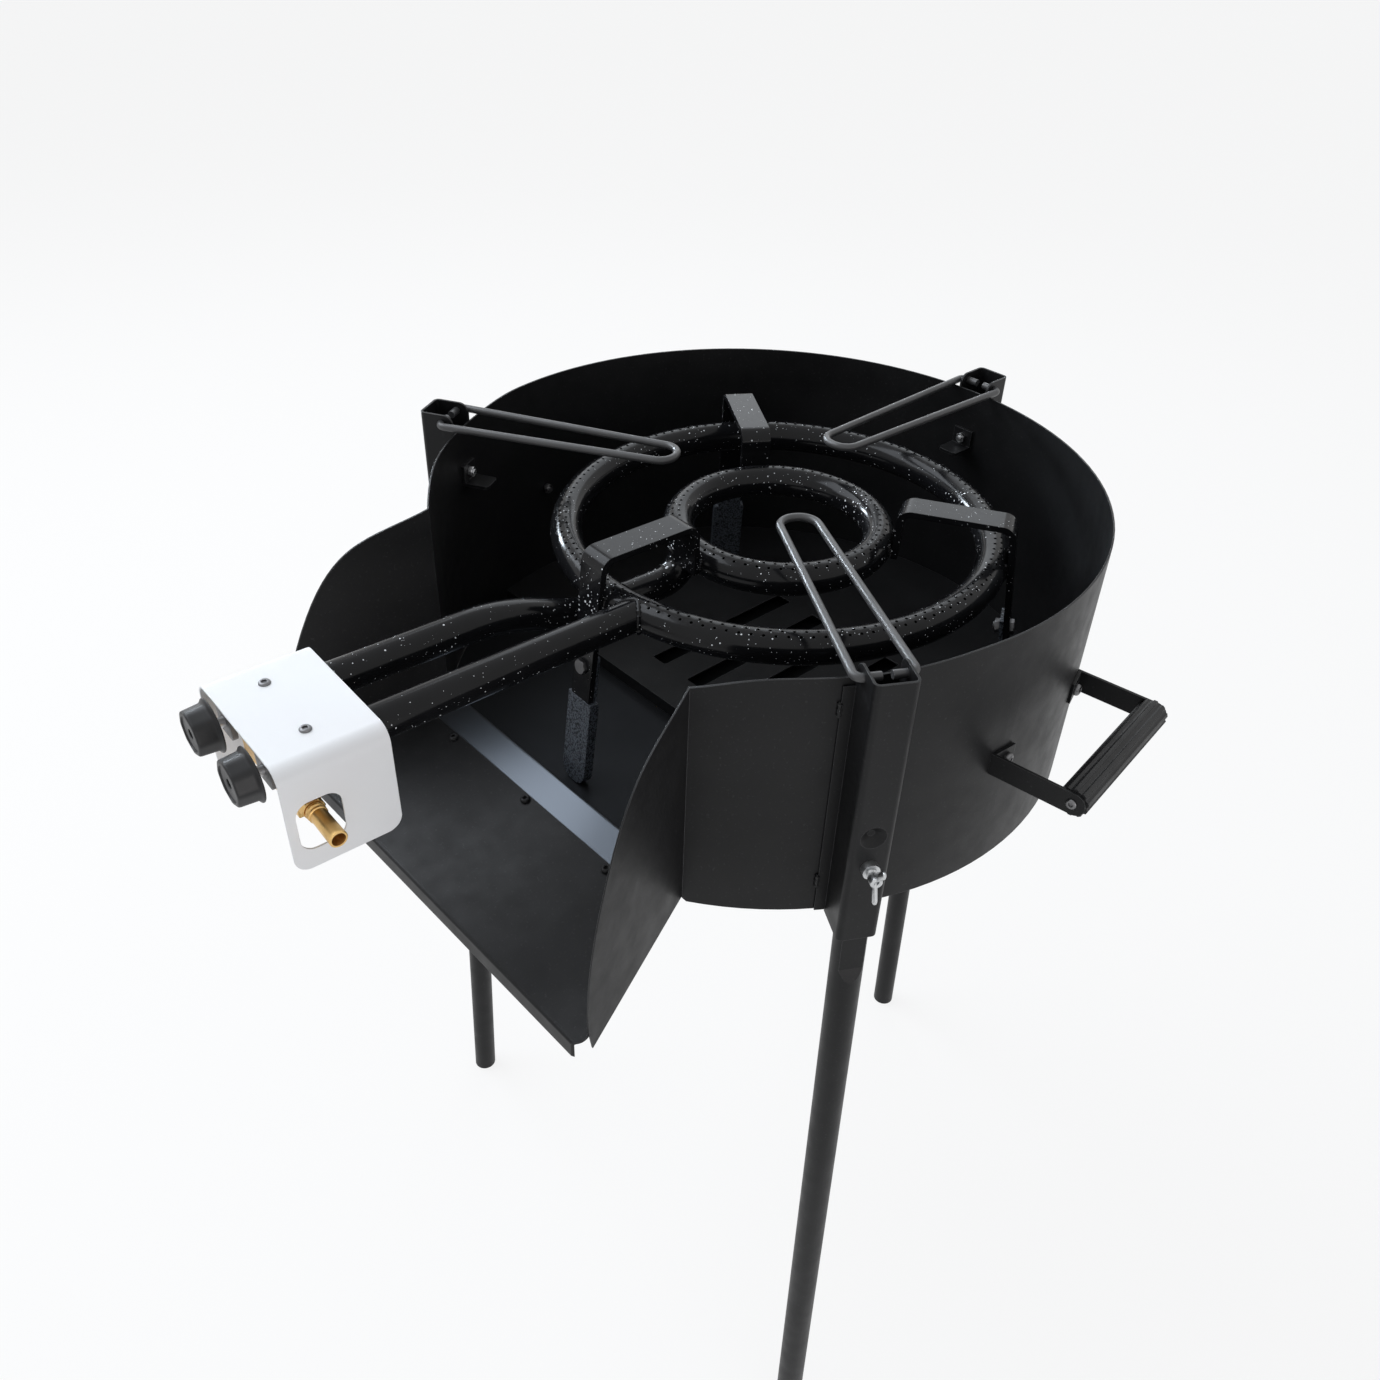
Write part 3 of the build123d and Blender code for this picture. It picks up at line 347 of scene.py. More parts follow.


# Painted finishes give their dark, light and worn colours, range of roughness, specular level, and scale and
# depth of the grain; the worn colour is also laid on the edges as a painted highlight. Turned ones give their
# dark, light and tarnished colours, range of roughness and the stretch of the lines.
MATERIALS = {
    "black_powder_coat": painted(
        "black_powder_coat", BLACK_DARK, BLACK_LIGHT, (0.11, 0.11, 0.112),
        (0.38, 0.48), 0.18, COAT_GRAIN, 0.035 * MM,
    ),
    "pan_coat": pan_coat("pan_coat"),
    "speckled_enamel": enamel("speckled_enamel"),
    # Near-black painted shade that lines the flame ports
    "port_shade": painted(
        "port_shade", (0.001, 0.001, 0.001), (0.003, 0.003, 0.003), (0.004, 0.004, 0.004),
        (0.8, 0.95), 0.02, 900, 0.02 * MM,
    ),
    "hammered_grey": hammered("hammered_grey"),
    "dark_wire": painted(
        "dark_wire", (0.045, 0.045, 0.046), (0.062, 0.061, 0.062), (0.14, 0.14, 0.142),
        (0.32, 0.44), 0.5, 900, 0.05 * MM,
    ),
    "white_powder_coat": painted(
        "white_powder_coat", (0.85, 0.84, 0.84), (0.87, 0.87, 0.865), (0.89, 0.89, 0.89),
        (0.36, 0.46), 0.4, COAT_GRAIN, 0.03 * MM,
    ),
    "black_plastic": painted(
        "black_plastic", (0.009, 0.009, 0.0095), (0.014, 0.014, 0.015), (0.045, 0.045, 0.047),
        (0.36, 0.48), 0.30, 2200, 0.02 * MM, edge=0.5 * MM,
    ),
    "zinc": turned(
        "zinc", (0.46, 0.47, 0.48), (0.62, 0.63, 0.64), (0.28, 0.28, 0.29), (0.26, 0.40), (1, 1, 1),
    ),
    "dull_zinc": turned(
        "dull_zinc", (0.13, 0.13, 0.135), (0.20, 0.20, 0.205), (0.08, 0.08, 0.082), (0.34, 0.48), (1, 1, 1),
    ),
    "brass": turned(
        "brass", (0.62, 0.39, 0.14), (0.80, 0.56, 0.24), (0.50, 0.28, 0.11), (0.32, 0.42), (6, 1, 1),
    ),
    "cast_aluminium": painted(
        "cast_aluminium", (0.50, 0.50, 0.51), (0.62, 0.62, 0.63), (0.72, 0.72, 0.73),
        (0.38, 0.52), 0.5, 600, 0.12 * MM, metallic=1.0,
    ),
    "steel": turned(
        "steel", (0.46, 0.46, 0.47), (0.62, 0.62, 0.63), (0.33, 0.30, 0.28), (0.24, 0.36), (1, 1, 6),
    ),
}

finish_of_node = {part["node"]: part["material_slot"] for part in frame["record"]["subparts"]}
finish_of_node["base_pan"] = "pan_coat"
finish_of_node["tap_bonnets"] = "dull_zinc"
for node, part in frame["nodes"].items():
    part.data.materials.clear()
    part.data.materials.append(MATERIALS[finish_of_node[node]])


# Mesh helpers; shapes are made in millimetres


def shade_smooth(shape):
    """Smooth faces, with edges over an angle kept sharp."""
    shape.normal_update()
    for face in shape.faces:
        face.smooth = True
    for edge in shape.edges:
        edge.smooth = len(edge.link_faces) == 2 and edge.calc_face_angle(0) < SHARP_ANGLE


def add_piece(name, shape, slot, body, replaced=(), finish=None, lining=None):
    """New piece from a bmesh, riding on a body; its finish is that of its slot or another."""
    bmesh.ops.recalc_face_normals(shape, faces=shape.faces)
    bmesh.ops.scale(shape, vec=(MM, MM, MM), verts=shape.verts)
    shade_smooth(shape)
    mesh = bpy.data.meshes.new(name)
    shape.to_mesh(mesh)
    shape.free()
    mesh.materials.append(MATERIALS[finish or slot])
    if lining:
        mesh.materials.append(MATERIALS[lining])
    piece = bpy.data.objects.new(name, mesh)
    bpy.context.scene.collection.objects.link(piece)
    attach(piece, body)
    if replaced:
        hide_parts(*replaced)
    return piece


def outward(angle):
    """Level direction at an angle in degrees, seen from above."""
    return Vector((math.cos(math.radians(angle)), math.sin(math.radians(angle)), 0))


def sideways(angle):
    """Level direction a quarter turn on from outward."""
    return UP.cross(outward(angle))


def burner_point(x, y, z):
    """Place given in the burner's own turned frame, its height above the ground."""
    point = BURNER + x * outward(BURNER_TURN) + y * sideways(BURNER_TURN)
    return Vector((point.x, point.y, z))


def seat(origin, axis, across):
    """Frame whose z runs along an axis and whose x lies in a direction across it."""
    frame_x = (across - axis * across.dot(axis)).normalized()
    axes = Matrix((frame_x, axis.cross(frame_x), axis)).transposed().to_4x4()
    return Matrix.Translation(origin) @ axes


def circle(radius, height, sides=SIDES):
    """Loop of points round the axis."""
    turns = [2 * math.pi * corner / sides for corner in range(sides)]
    return [(radius * math.cos(turn), radius * math.sin(turn), height) for turn in turns]


def hexagon(corner, height, cut=UNCUT):
    """Six-sided loop whose corners are cut round at a share of their reach."""
    loop = []
    for x, y, _ in circle(1, 0):
        turn = math.atan2(y, x) % math.radians(60) - math.radians(30)
        reach = corner * min(cut, math.cos(math.radians(30)) / math.cos(turn))
        loop.append((reach * x, reach * y, height))
    return loop


def skin(shape, spot, loops, closed=False):
    """Surface over loops of points given at a seat, its two ends capped, or joined where it is closed."""
    rows = [[shape.verts.new(spot @ Vector(point)) for point in loop] for loop in loops]
    for low, high in zip(rows, rows[1:] + rows[:1] if closed else rows[1:]):
        for corner in range(len(low)):
            after = (corner + 1) % len(low)
            shape.faces.new((low[corner], low[after], high[after], high[corner]))
    if not closed:
        shape.faces.new(rows[0])
        shape.faces.new(rows[-1])


# Burner rings with flame ports


def ring_point(radius, turn, tilt, tube=RING_TUBE):
    """Point on a ring's tube: turn round the ring, tilt outward from the top of the tube."""
    reach = radius + tube * math.sin(tilt)
    level = tube * math.cos(tilt)
    return BURNER + Vector((reach * math.cos(turn), reach * math.sin(turn), level))


def sink_port(shape, radius, turn, tilt, border):
    """Round hole in the middle of a cell whose border is a loop of verts."""
    loops = [border]
    for sink in (0, PORT_DEPTH):
        loop = []
        for corner in range(PORT_SIDES):
            angle = 2 * math.pi * corner / PORT_SIDES
            along = PORT_RADIUS * math.cos(angle) / radius
            across = PORT_RADIUS * math.sin(angle) / RING_TUBE
            point = ring_point(radius, turn + along, tilt + across, RING_TUBE - sink)
            loop.append(shape.verts.new(point))
        loops.append(loop)
    # The ring's own finish up to the rim of the hole; the wall and the capped bottom below take a near-black
    # lining, painted shade for the dark hollow of the tube
    for finish, (outer, inner) in enumerate(zip(loops, loops[1:])):
        for corner in range(PORT_SIDES):
            after = (corner + 1) % PORT_SIDES
            face = shape.faces.new((outer[corner], outer[after], inner[after], inner[corner]))
            face.material_index = finish
    shape.faces.new(loops[-1]).material_index = 1


def ported_ring(radius, count):
    """Tube ring with two staggered rows of flame ports sunk in its top."""
    shape = bmesh.new()
    columns = 2 * count
    half_cell = math.radians(PORT_CELL / 2)
    first = math.radians(PORT_ROWS[0]) - half_cell
    band = [first + half_cell * step for step in range(2 * len(PORT_ROWS) + 1)]
    rest = round((360 - PORT_CELL * len(PORT_ROWS)) / TUBE_STEP)
    tilts = band + [band[-1] + math.radians(TUBE_STEP) * step for step in range(1, rest)]
    turns = [2 * math.pi * column / columns for column in range(columns)]
    grid = [[shape.verts.new(ring_point(radius, turn, tilt)) for turn in turns] for tilt in tilts]
    for low in range(len(band) - 1, len(tilts)):
        upper = grid[(low + 1) % len(tilts)]
        for column in range(columns):
            after = (column + 1) % columns
            shape.faces.new((grid[low][column], upper[column], upper[after], grid[low][after]))
    for row in range(len(PORT_ROWS)):
        low, middle, high = grid[2 * row], grid[2 * row + 1], grid[2 * row + 2]
        for port in range(count):
            centre = 2 * port + row
            left, right = (centre - 1) % columns, (centre + 1) % columns
            centre %= columns
            border = [
                middle[right], high[right], high[centre], high[left],
                middle[left], low[left], low[centre], low[right],
            ]
            sink_port(shape, radius, turns[centre], tilts[2 * row + 1], border)
    for vert in [vert for vert in shape.verts if not vert.link_faces]:
        shape.verts.remove(vert)
    return shape


for name, radius in RING_RADIUS.items():
    ring = ported_ring(radius, PORT_COUNT[name])
    # The flame ports are lined with near-black painted shade
    add_piece(f"ported_ring_{name}", ring, "speckled_enamel", "stand", [f"{name}_ring"], lining="port_shade")


# Weld beads

BEAD_SIDES = 8
BEAD_STEPS = 48
BEAD_END = 0.45  # thickness at an open end
RIPPLE = 0.22
RIPPLES = 26  # on a bead round a whole tube
RIPPLE_STEP = 2.0  # on a short bead, in radians for each point
STEEP = 0.9  # upright part of a direction that counts as upright


def bead(shape, points, radius, ripple_step, closed=False):
    """Rippled weld bead along a path of points."""
    loops = []
    for number, point in enumerate(points):
        before = points[number - 1] if number or closed else point
        after = points[(number + 1) % len(points)] if number + 1 < len(points) or closed else point
        along = (after - before).normalized()
        first = along.orthogonal().normalized()
        if abs(along.z) < STEEP:
            first = along.cross(UP).normalized()
        second = along.cross(first)
        thick = radius * (1 + RIPPLE * math.sin(number * ripple_step))
        if not closed and number in (0, len(points) - 1):
            thick *= BEAD_END
        turns = [2 * math.pi * corner / BEAD_SIDES for corner in range(BEAD_SIDES)]
        loops.append([point + thick * (math.cos(t) * first + math.sin(t) * second) for t in turns])
    skin(shape, Matrix.Identity(4), loops, closed)


def outer_feed_seam(turn):
    """Point where the outer ring's feed tube meets the ring."""
    x = FEED_X["right"] + FEED_TUBE * math.cos(turn)
    up = FEED_TUBE * math.sin(turn)
    reach = RING_RADIUS["outer"] + math.sqrt(RING_TUBE**2 - up**2)
    return burner_point(x, -math.sqrt(reach**2 - x**2), BURNER.z + up)


def inner_feed_seam(turn):
    """Point where the inner ring's feed tube meets the ring from below."""
    x = FEED_X["left"] + FEED_TUBE * math.cos(turn)
    y = INNER_FEED_Y + FEED_TUBE * math.sin(turn)
    aside = math.hypot(x, y) - RING_RADIUS["inner"]
    down = math.sqrt(max(0, RING_TUBE**2 - aside**2))
    return burner_point(x, y, BURNER.z - down)


FEED_BEAD = 2.0
BAR_BEAD = 1.5
BAR_BEAD_POINTS = 15
BAR_BEAD_TILTS = {"outer": (55, 125), "inner": (55, 95)}
TACK_BEAD = 2.0
TACK_HEIGHTS = (803, 975)
TACK_LENGTH = 14
TACK_POINTS = 9
TACK_SIDE = 26.4  # from the middle of a post
TACK_REACH = 299.9

welds = bmesh.new()
for seam in (outer_feed_seam, inner_feed_seam):
    path = [seam(2 * math.pi * step / BEAD_STEPS) for step in range(BEAD_STEPS)]
    bead(welds, path, FEED_BEAD, 2 * math.pi * RIPPLES / BEAD_STEPS, closed=True)
for angle in BAR_ANGLES.values():
    for name, radius in RING_RADIUS.items():
        low, high = BAR_BEAD_TILTS[name]
        for side in (-1, 1):
            turn = math.radians(angle) + side * BAR_WIDTH / 2 / (radius + RING_TUBE)
            tilts = [low + (high - low) * step / (BAR_BEAD_POINTS - 1) for step in range(BAR_BEAD_POINTS)]
            path = [ring_point(radius, turn, math.radians(tilt)) for tilt in tilts]
            bead(welds, path, BAR_BEAD, RIPPLE_STEP)
add_piece("burner_welds", welds, "speckled_enamel", "stand")

tacks = bmesh.new()
for angle in STATIONS.values():
    for side in (-1, 1):
        for height in TACK_HEIGHTS:
            foot = TACK_REACH * outward(angle) + side * TACK_SIDE * sideways(angle)
            shares = [step / (TACK_POINTS - 1) - 0.5 for step in range(TACK_POINTS)]
            path = [foot + (height + TACK_LENGTH * share) * UP for share in shares]
            bead(tacks, path, TACK_BEAD, RIPPLE_STEP)
add_piece("post_tacks", tacks, "black_powder_coat", "stand")


# Bolts, nuts and screws

HEAD = 3.5
NUT = 4.5
BOLT_PAST = 1.2  # bolt end beyond its nut
PITCH = 1.0
THREAD_STEPS = 4  # loops for each turn of a thread
THREAD_DEPTH = 0.12  # of the radius
THREAD_LEAD = 0.4  # between a face and the start of the thread next to it
TIP_LENGTH = 0.4
TIP_SHARE = 0.75  # of the radius
# Radius of a bolt, and reach of its head and nut
M5, M5_HEAD = 2.5, 4.5
M6, M6_HEAD = 3.0, 5.4
M8, M8_HEAD = 4.0, 7.2
# Domed head and the socket in it: shares of the head's radius and height
DOME = ((0.60, 1.0), (0.76, 0.93), (0.89, 0.76), (0.97, 0.5), (1.0, 0.25), (1.0, 0.0))
SOCKET = ((0.48, 0.3), (0.48, 0.92), (0.54, 1.0))
# Six-sided head: share of the corner for the round on top, then cut of the corners and share of the height
HEX_TOP = 0.80
HEX_HEAD = ((0.88, 1.0), (UNCUT, 0.84), (UNCUT, 0.0))
# Nut: cut of its corners and share of its height down from the seat
NUT_SIDES = ((0.90, 0), (UNCUT, 0.12), (UNCUT, 0.88), (0.88, 1))
# Mouth of the nut: share of the bolt's radius, and height above the nut's far face
NUT_MOUTH = ((1.2, 0), (1.02, 0.5))


def domed_head(radius, height):
    """Domed head with a six-sided socket, from the bottom of the socket to the seat."""
    socket = [hexagon(radius * share, height * level) for share, level in SOCKET]
    return socket + [circle(radius * share, height * level) for share, level in DOME]


def hex_head(corner, height):
    """Six-sided head with its corners cut, from the top to the seat."""
    sides = [hexagon(corner, height * level, cut) for cut, level in HEX_HEAD]
    return [circle(HEX_TOP * corner, height)] + sides


def thread(radius, start, end):
    """Screw thread between two heights, its end cut to a cone."""
    count = max(2, round(abs(end - start) / PITCH * THREAD_STEPS))
    loops = []
    for step in range(count + 1):
        height = start + (end - start) * step / count
        loop = []
        for corner, (x, y, _) in enumerate(circle(radius, 0)):
            phase = height / PITCH - corner / SIDES
            cut = 1 - THREAD_DEPTH * abs(2 * (phase % 1) - 1)
            loop.append((cut * x, cut * y, height))
        loops.append(loop)
    tip = end + math.copysign(TIP_LENGTH, end - start)
    return loops + [circle(TIP_SHARE * radius, tip)]


def nut(corner, radius, top):
    """Nut below a height with a bolt end standing out of it, from its seat to the end of the bolt."""
    low = top - NUT
    sides = [hexagon(corner, top - share * NUT, cut) for cut, share in NUT_SIDES]
    mouth = [circle(share * radius, low + level) for share, level in NUT_MOUTH]
    return [circle(radius, top)] + sides + mouth + thread(radius, low + THREAD_LEAD, low - BOLT_PAST)


def add_bolts(name, places, head, corner, radius, grip, finish="dull_zinc"):
    """Bolts with nuts that stand for a node."""
    shape = bmesh.new()
    for spot in places:
        skin(shape, spot, head + nut(corner, radius, -grip))
    add_piece(f"{name}_detail", shape, "zinc", "stand", [name], finish)


def add_screws(name, places, head, radius, length):
    """Screws that stand for a node."""
    shape = bmesh.new()
    for spot in places:
        skin(shape, spot, head + [circle(radius, 0)] + thread(radius, -PITCH, -length))
    add_piece(f"{name}_detail", shape, "zinc", "stand", [name], "dull_zinc")


# Seats of the heads: reach from the stand's axis or from the burner's, height and distance aside
LUG_BOLT_REACH = 300.1
LUG_BOLT_Z = 957
HANDLE_BOLT_REACH = 297.36
HANDLE_BOLT_SIDE = 62
HANDLE_Z = 884
SHELF_BOLT_X = (-112, 0, 112)
SHELF_BOLT_Y = -278.5
SHELF_BOLT_Z = 780.23
SHELF_HALF = 0.75  # half the sheet's thickness
SHELF_TILT = math.radians(11)
FOOT_BOLT_REACH = 217.81
FOOT_BOLT_Z = 895
FOOT_BOLT_SEAT = 2.85  # from that reach out to the seat
COVER_SCREW_Y = -475.5
COVER_TOP = 975.1
GRIP_REACH = 360
GRIP_END = 77.6

shelf_up = Vector((0, -math.sin(SHELF_TILT), math.cos(SHELF_TILT)))
lug_places = [
    seat(LUG_BOLT_REACH * outward(angle) + LUG_BOLT_Z * UP, outward(angle), UP) for angle in STATIONS.values()
]
handle_places = [
    seat(HANDLE_BOLT_REACH * outward(angle) + aside * sideways(angle) + HANDLE_Z * UP, outward(angle), UP)
    for angle in HANDLES for aside in (-HANDLE_BOLT_SIDE, HANDLE_BOLT_SIDE)
]
shelf_places = [
    seat(Vector((x, SHELF_BOLT_Y, SHELF_BOLT_Z)) + SHELF_HALF * shelf_up, shelf_up, Vector((1, 0, 0)))
    for x in SHELF_BOLT_X
]
foot_places = []
for angle in BAR_ANGLES.values():
    normal = math.cos(BAR_SPLAY) * outward(angle) + math.sin(BAR_SPLAY) * UP
    middle = Vector((BURNER.x, BURNER.y, FOOT_BOLT_Z)) + FOOT_BOLT_REACH * outward(angle)
    foot_places.append(seat(middle + FOOT_BOLT_SEAT * normal, normal, sideways(angle)))
cover_places = [
    seat(burner_point(x, COVER_SCREW_Y, COVER_TOP), UP, outward(BURNER_TURN)) for x in FEED_X.values()
]
grip_places = []
for angle in HANDLES:
    for end in (-sideways(angle), sideways(angle)):
        grip_places.append(seat(GRIP_REACH * outward(angle) + GRIP_END * end + HANDLE_Z * UP, end, UP))

# The last number is the thickness that a bolt holds, or the length of a screw
add_bolts("lug_bolts", lug_places, domed_head(M6_HEAD, HEAD), M6_HEAD, M6, 4.8, "zinc")
add_bolts("handle_bolts", handle_places, domed_head(M6_HEAD, HEAD), M6_HEAD, M6, 6.67)
add_bolts("shelf_bolts", shelf_places, domed_head(M5_HEAD, HEAD), M5_HEAD, M5, 3.1, "black_powder_coat")
add_bolts("foot_bolts", foot_places, hex_head(M8_HEAD, HEAD), M8_HEAD, M8, 9.2)
add_screws("shield_screws", cover_places, domed_head(M5_HEAD, HEAD / 2), M5, 3.6)
add_screws("grip_screws", grip_places, domed_head(M5_HEAD, HEAD / 2), M5, 13.6)


# Wing screws

SCREW_Z = 847
SCREW_TIP = 326.65
SCREW_RADIUS = 4
HUB_START = 343
# Height and radius of the hub, from the bottom of its hole to the screw
HUB_PROFILE = (
    (5.5, 1.9), (8.4, 1.9), (9.0, 2.6), (9.0, 4.2), (8.5, 4.8), (7.6, 5), (1.0, 5), (0, 4.4),
    (0, SCREW_RADIUS),
)
EAR_RADIUS = 3.5
EAR_THICK = 3.0
EAR_TURN = 8  # degrees from level
EAR_ROOT = (4.5, 1.75)  # along and across the screw
EAR_TIP = (13, 13)
EAR_ROUND = ((1.2, 0.0), (0.45, 0.16), (0.0, 0.5), (0.45, 0.84), (1.2, 1.0))  # inset, share of thickness
EAR_SIDES = 24


def ear_loop(inset, level):
    """Outline of a wing from its root to its tip, in millimetres along and across the screw."""
    along = Vector((EAR_TIP[0] - EAR_ROOT[0], EAR_TIP[1] - EAR_ROOT[1]))
    lean = math.atan2(along.y, along.x)
    loop = []
    for corner in range(EAR_SIDES):
        turn = 2 * math.pi * (corner + 0.5) / EAR_SIDES
        middle = EAR_TIP if math.cos(turn) > 0 else EAR_ROOT
        radius = EAR_RADIUS - inset
        loop.append((
            middle[0] + radius * math.cos(turn + lean),
            middle[1] + radius * math.sin(turn + lean),
            level,
        ))
    return loop


def wing_screw(angle):
    """Screw with a drilled hub and two rounded wings."""
    shape = bmesh.new()
    hub = HUB_START * outward(angle) + SCREW_Z * UP
    body = [circle(radius, height) for height, radius in HUB_PROFILE]
    shank = thread(SCREW_RADIUS, -THREAD_LEAD, SCREW_TIP - HUB_START + TIP_LENGTH)
    skin(shape, seat(hub, outward(angle), UP), body + shank)
    for turn in (EAR_TURN, EAR_TURN + 180):
        across = math.sin(math.radians(turn)) * UP - math.cos(math.radians(turn)) * sideways(angle)
        loops = [ear_loop(inset, EAR_THICK * (share - 0.5)) for inset, share in EAR_ROUND]
        skin(shape, seat(hub, across, outward(angle)), loops)
    return shape


for name, angle in STATIONS.items():
    screw = f"wing_screw_{name}"
    add_piece(f"{screw}_detail", wing_screw(angle), "zinc", screw, [screw])


# Knobs, tap springs and hose tail

KNOB_BACK = -516.5
KNOB_FLATS = 8
KNOB_CORNERS = 64
FLAT_SHARPNESS = 24  # higher gives sharper corners between the flats
# Height from the back, reach and share of the flats
KNOB_PROFILE = (
    (0.9, 5.0, 0), (0.9, 17.0, 0), (0.0, 18.0, 0), (0.0, 20.4, 0), (0.35, 20.8, 0), (1.0, 20.8, 0),
    (1.5, 20.3, 0), (2.1, 18.9, 0.4), (2.9, 17.9, 1), (3.9, 17.5, 1), (15.4, 16.7, 1), (16.5, 16.5, 1),
    (17.1, 16.1, 1), (17.4, 15.5, 1), (17.5, 14.8, 1), (17.5, 13.9, 0), (17.2, 13.7, 0), (16.5, 13.5, 0),
    (16.5, 4.4, 0), (16.3, 3.8, 0), (13.5, 3.7, 0),
)


def knob_loop(height, reach, flat):
    """Loop between a circle and an eight-sided outline with soft corners."""
    loop = []
    for x, y, _ in circle(1, 0, KNOB_CORNERS):
        turn = math.atan2(y, x)
        total = 0
        for side in range(KNOB_FLATS):
            facing = math.cos(turn - 2 * math.pi * (side + 0.5) / KNOB_FLATS)
            total += max(0, facing) ** FLAT_SHARPNESS
        radius = reach * ((1 - flat) + flat * total ** (-1 / FLAT_SHARPNESS))
        loop.append((radius * x, radius * y, height))
    return loop


for side, x in FEED_X.items():
    knob = bmesh.new()
    knob_frame = seat(burner_point(x, KNOB_BACK, BURNER.z), -sideways(BURNER_TURN), outward(BURNER_TURN))
    skin(knob, knob_frame, [knob_loop(*row) for row in KNOB_PROFILE])
    add_piece(f"knob_{side}_detail", knob, "black_plastic", f"knob_{side}", [f"knob_{side}"])

# Coil spring that pushes each spindle out
SPRING_Y = (-484.7, -476.3)  # from the spindle to its fixed end
SPRING_RADIUS = 3.4
SPRING_WIRE = 0.5
SPRING_TURNS = 5
SPRING_STEPS = 16  # loops for each turn
WIRE_SIDES = 8
spring_length = SPRING_Y[1] - SPRING_Y[0]


def wire_loop(step):
    """Loop round the wire of a coil spring."""
    share = step / (SPRING_TURNS * SPRING_STEPS)
    level = SPRING_WIRE + share * (spring_length - 2 * SPRING_WIRE)
    spoke = outward(360 * step / SPRING_STEPS)
    wire = circle(SPRING_WIRE, 0, WIRE_SIDES)
    return [spoke * (SPRING_RADIUS + x) + UP * (level + y) for x, y, _ in wire]


for side, x in FEED_X.items():
    coil = bmesh.new()
    coil_frame = seat(burner_point(x, SPRING_Y[0], BURNER.z), sideways(BURNER_TURN), outward(BURNER_TURN))
    skin(coil, coil_frame, [wire_loop(step) for step in range(SPRING_TURNS * SPRING_STEPS + 1)])
    coil = add_piece(f"tap_spring_{side}_detail", coil, "steel", f"tap_{side}", [f"tap_spring_{side}"])
    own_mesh(coil)

TAIL_PLACE = (49, -487, 921)  # its seat on the gas rail, in the burner's frame
TAIL_HEX = 9
TAIL_SIDES = ((0, UNCUT), (7.2, UNCUT), (8.0, 0.88))  # height, and cut of the corners
# Height from the rail and radius of the turned part, out along the tail and back down its bore
TAIL_PROFILE = (
    (8.0, 6.6), (9.0, 6.4), (9.4, 7.4), (11.2, 7.5), (11.6, 7.0), (12.2, 6.4), (13.0, 6.4), (13.4, 7.1),
    (14.6, 7.2), (15.2, 6.3), (41.0, 6.7), (43.6, 6.8), (44.6, 6.7), (45.0, 6.3), (45.0, 5.2), (44.4, 5.0),
    (22.0, 5.0),
)

tail = bmesh.new()
tail_frame = seat(burner_point(*TAIL_PLACE), outward(BURNER_TURN), sideways(BURNER_TURN))
tail_loops = [hexagon(TAIL_HEX, height, cut) for height, cut in TAIL_SIDES]
skin(tail, tail_frame, tail_loops + [circle(radius, height) for height, radius in TAIL_PROFILE])
add_piece("hose_tail_detail", tail, "brass", "stand", ["hose_tail"])


# Camera of the photograph: its place, direction and focal length
CAMERA_PLACE = Vector((663.2, -716.4, 1495.3)) * MM
CAMERA_AZIMUTH = math.radians(46.41)
CAMERA_DOWN = math.radians(36.89)
CAMERA_ROLL = math.radians(2.17)
FOCAL_PIXELS = 1204
FRAME_PIXELS = 1380
SENSOR = 36.0


def add_camera():
    """Camera at the photograph's place and angle."""
    forward = Vector((
        -math.sin(CAMERA_AZIMUTH) * math.cos(CAMERA_DOWN),
        math.cos(CAMERA_AZIMUTH) * math.cos(CAMERA_DOWN),
        -math.sin(CAMERA_DOWN),
    ))
    level = Vector((math.cos(CAMERA_AZIMUTH), math.sin(CAMERA_AZIMUTH), 0))
    upward = level.cross(forward)
    right = math.cos(CAMERA_ROLL) * level + math.sin(CAMERA_ROLL) * upward
    up = math.cos(CAMERA_ROLL) * upward - math.sin(CAMERA_ROLL) * level
    data = bpy.data.cameras.new("camera")
    data.sensor_width = SENSOR
    data.lens = SENSOR * FOCAL_PIXELS / FRAME_PIXELS
    camera = bpy.data.objects.new("camera", data)
    axes = Matrix((right, up, -forward)).transposed().to_4x4()
    camera.matrix_world = Matrix.Translation(CAMERA_PLACE) @ axes
    bpy.context.scene.collection.objects.link(camera)
    bpy.context.scene.camera = camera


add_camera()


# Floor, world and lamps

FLOOR_RADIUS = 30.0
FLOOR_SIDES = 64
FLOOR_ROUGHNESS = 0.9
FLOOR_COLOUR = (0.86, 0.86, 0.86, 1)
FLOOR_GLOW = 0.84
WORLD_COLOUR = (0.92, 0.96, 1.0, 1)
WORLD_STRENGTH = 0.5


def seen_rays(tree):
    """1 for rays that show the background itself: camera, glossy and transmission rays."""
    path = tree.nodes.new("ShaderNodeLightPath")
    seen = sums(tree, "MAXIMUM", path.outputs["Is Camera Ray"], path.outputs["Is Glossy Ray"])
    return sums(tree, "MAXIMUM", seen, path.outputs["Is Transmission Ray"])


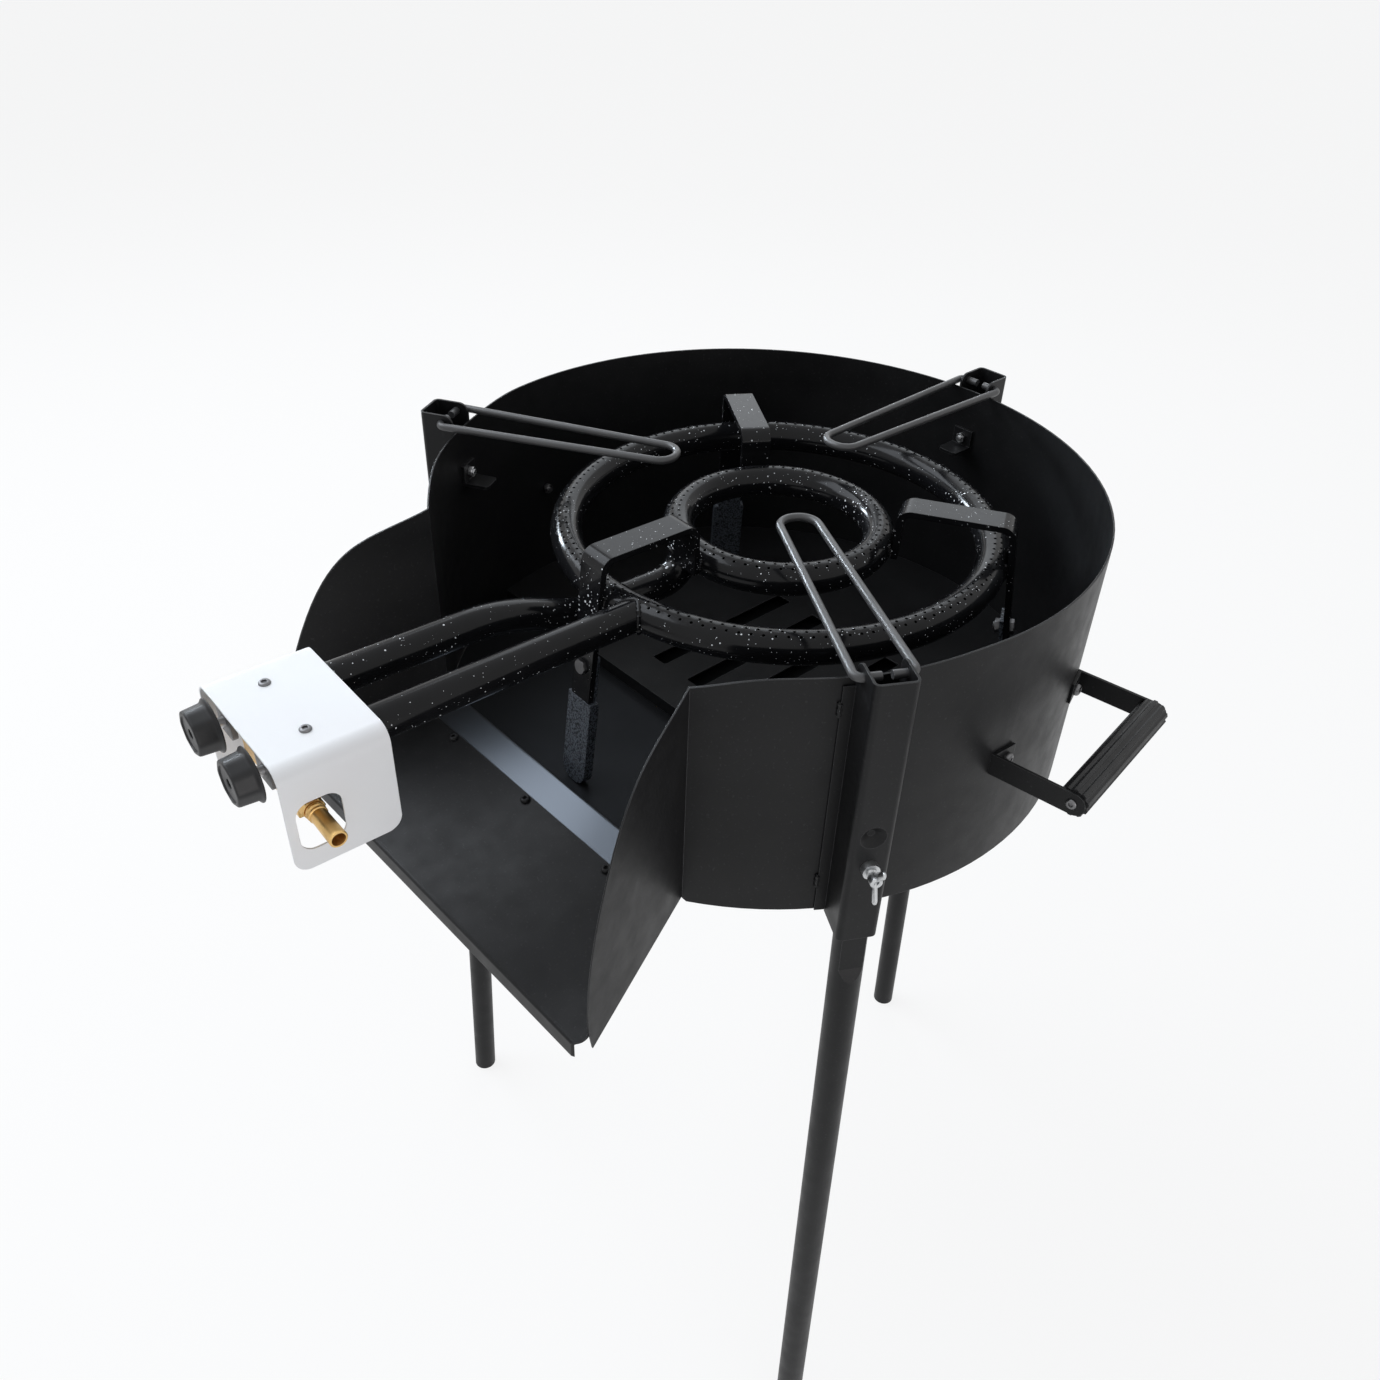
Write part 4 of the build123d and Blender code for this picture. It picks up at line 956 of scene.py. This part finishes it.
def add_floor():
    """White floor that keeps a soft shadow."""
    shape = bmesh.new()
    bmesh.ops.create_circle(shape, cap_ends=True, segments=FLOOR_SIDES, radius=FLOOR_RADIUS)
    mesh = bpy.data.meshes.new("floor")
    shape.to_mesh(mesh)
    shape.free()
    floor = bpy.data.objects.new("floor", mesh)
    bpy.context.scene.collection.objects.link(floor)
    material, tree, shader = new_material("floor")
    shader.inputs["Base Color"].default_value = FLOOR_COLOUR
    shader.inputs["Roughness"].default_value = FLOOR_ROUGHNESS
    glow = tree.nodes.new("ShaderNodeEmission")
    mix = tree.nodes.new("ShaderNodeMixShader")
    output = next(node for node in tree.nodes if node.type == "OUTPUT_MATERIAL")
    put(tree, mix.inputs["Fac"], sums(tree, "MULTIPLY", seen_rays(tree), FLOOR_GLOW))
    tree.links.new(shader.outputs["BSDF"], mix.inputs[1])
    tree.links.new(glow.outputs["Emission"], mix.inputs[2])
    tree.links.new(mix.outputs["Shader"], output.inputs["Surface"])
    mesh.materials.append(material)


def add_world():
    """Soft light from all round, seen as white."""
    world = bpy.data.worlds.new("studio")
    world.use_nodes = True
    tree = world.node_tree
    tree.nodes.clear()
    light = tree.nodes.new("ShaderNodeBackground")
    light.inputs["Color"].default_value = WORLD_COLOUR
    light.inputs["Strength"].default_value = WORLD_STRENGTH
    white = tree.nodes.new("ShaderNodeBackground")
    white.inputs["Color"].default_value = (1, 1, 1, 1)
    mix = tree.nodes.new("ShaderNodeMixShader")
    output = tree.nodes.new("ShaderNodeOutputWorld")
    put(tree, mix.inputs["Fac"], seen_rays(tree))
    tree.links.new(light.outputs["Background"], mix.inputs[1])
    tree.links.new(white.outputs["Background"], mix.inputs[2])
    tree.links.new(mix.outputs["Shader"], output.inputs["Surface"])
    bpy.context.scene.world = world


def add_lamp(name, position, target, size, power, colour, spread=180):
    """Rectangular lamp aimed at a target; spread is the angle of its beam in degrees."""
    data = bpy.data.lights.new(name, "AREA")
    data.shape = "RECTANGLE"
    data.size, data.size_y = size
    data.energy = power
    data.color = colour
    data.spread = math.radians(spread)
    lamp = bpy.data.objects.new(name, data)
    lamp.location = position
    lamp.rotation_euler = (Vector(target) - Vector(position)).to_track_quat("-Z", "Y").to_euler()
    bpy.context.scene.collection.objects.link(lamp)


add_floor()
add_world()
add_lamp("sky_left", (-2.3, -1.2, 3.6), (0, -0.2, 0.85), (3.0, 2.6), 104, (0.86, 0.92, 1.0))
add_lamp("horizon_left", (-3.0, 0.3, 1.8), (0, 0.3, 0.95), (1.2, 0.6), 2.2, (0.80, 0.90, 1.0), 20)
add_lamp("sky_back", (-2.2, 2.2, 2.8), (0, 0, 0.9), (2.4, 2.0), 20, (0.86, 0.93, 1.0))
add_lamp("fill_right", (5.0, -1.4, 0.75), (0, -0.2, 0.8), (4.2, 1.3), 11.5, (1.0, 0.96, 0.96), 70)

bpy.context.scene.view_settings.view_transform = "Standard"
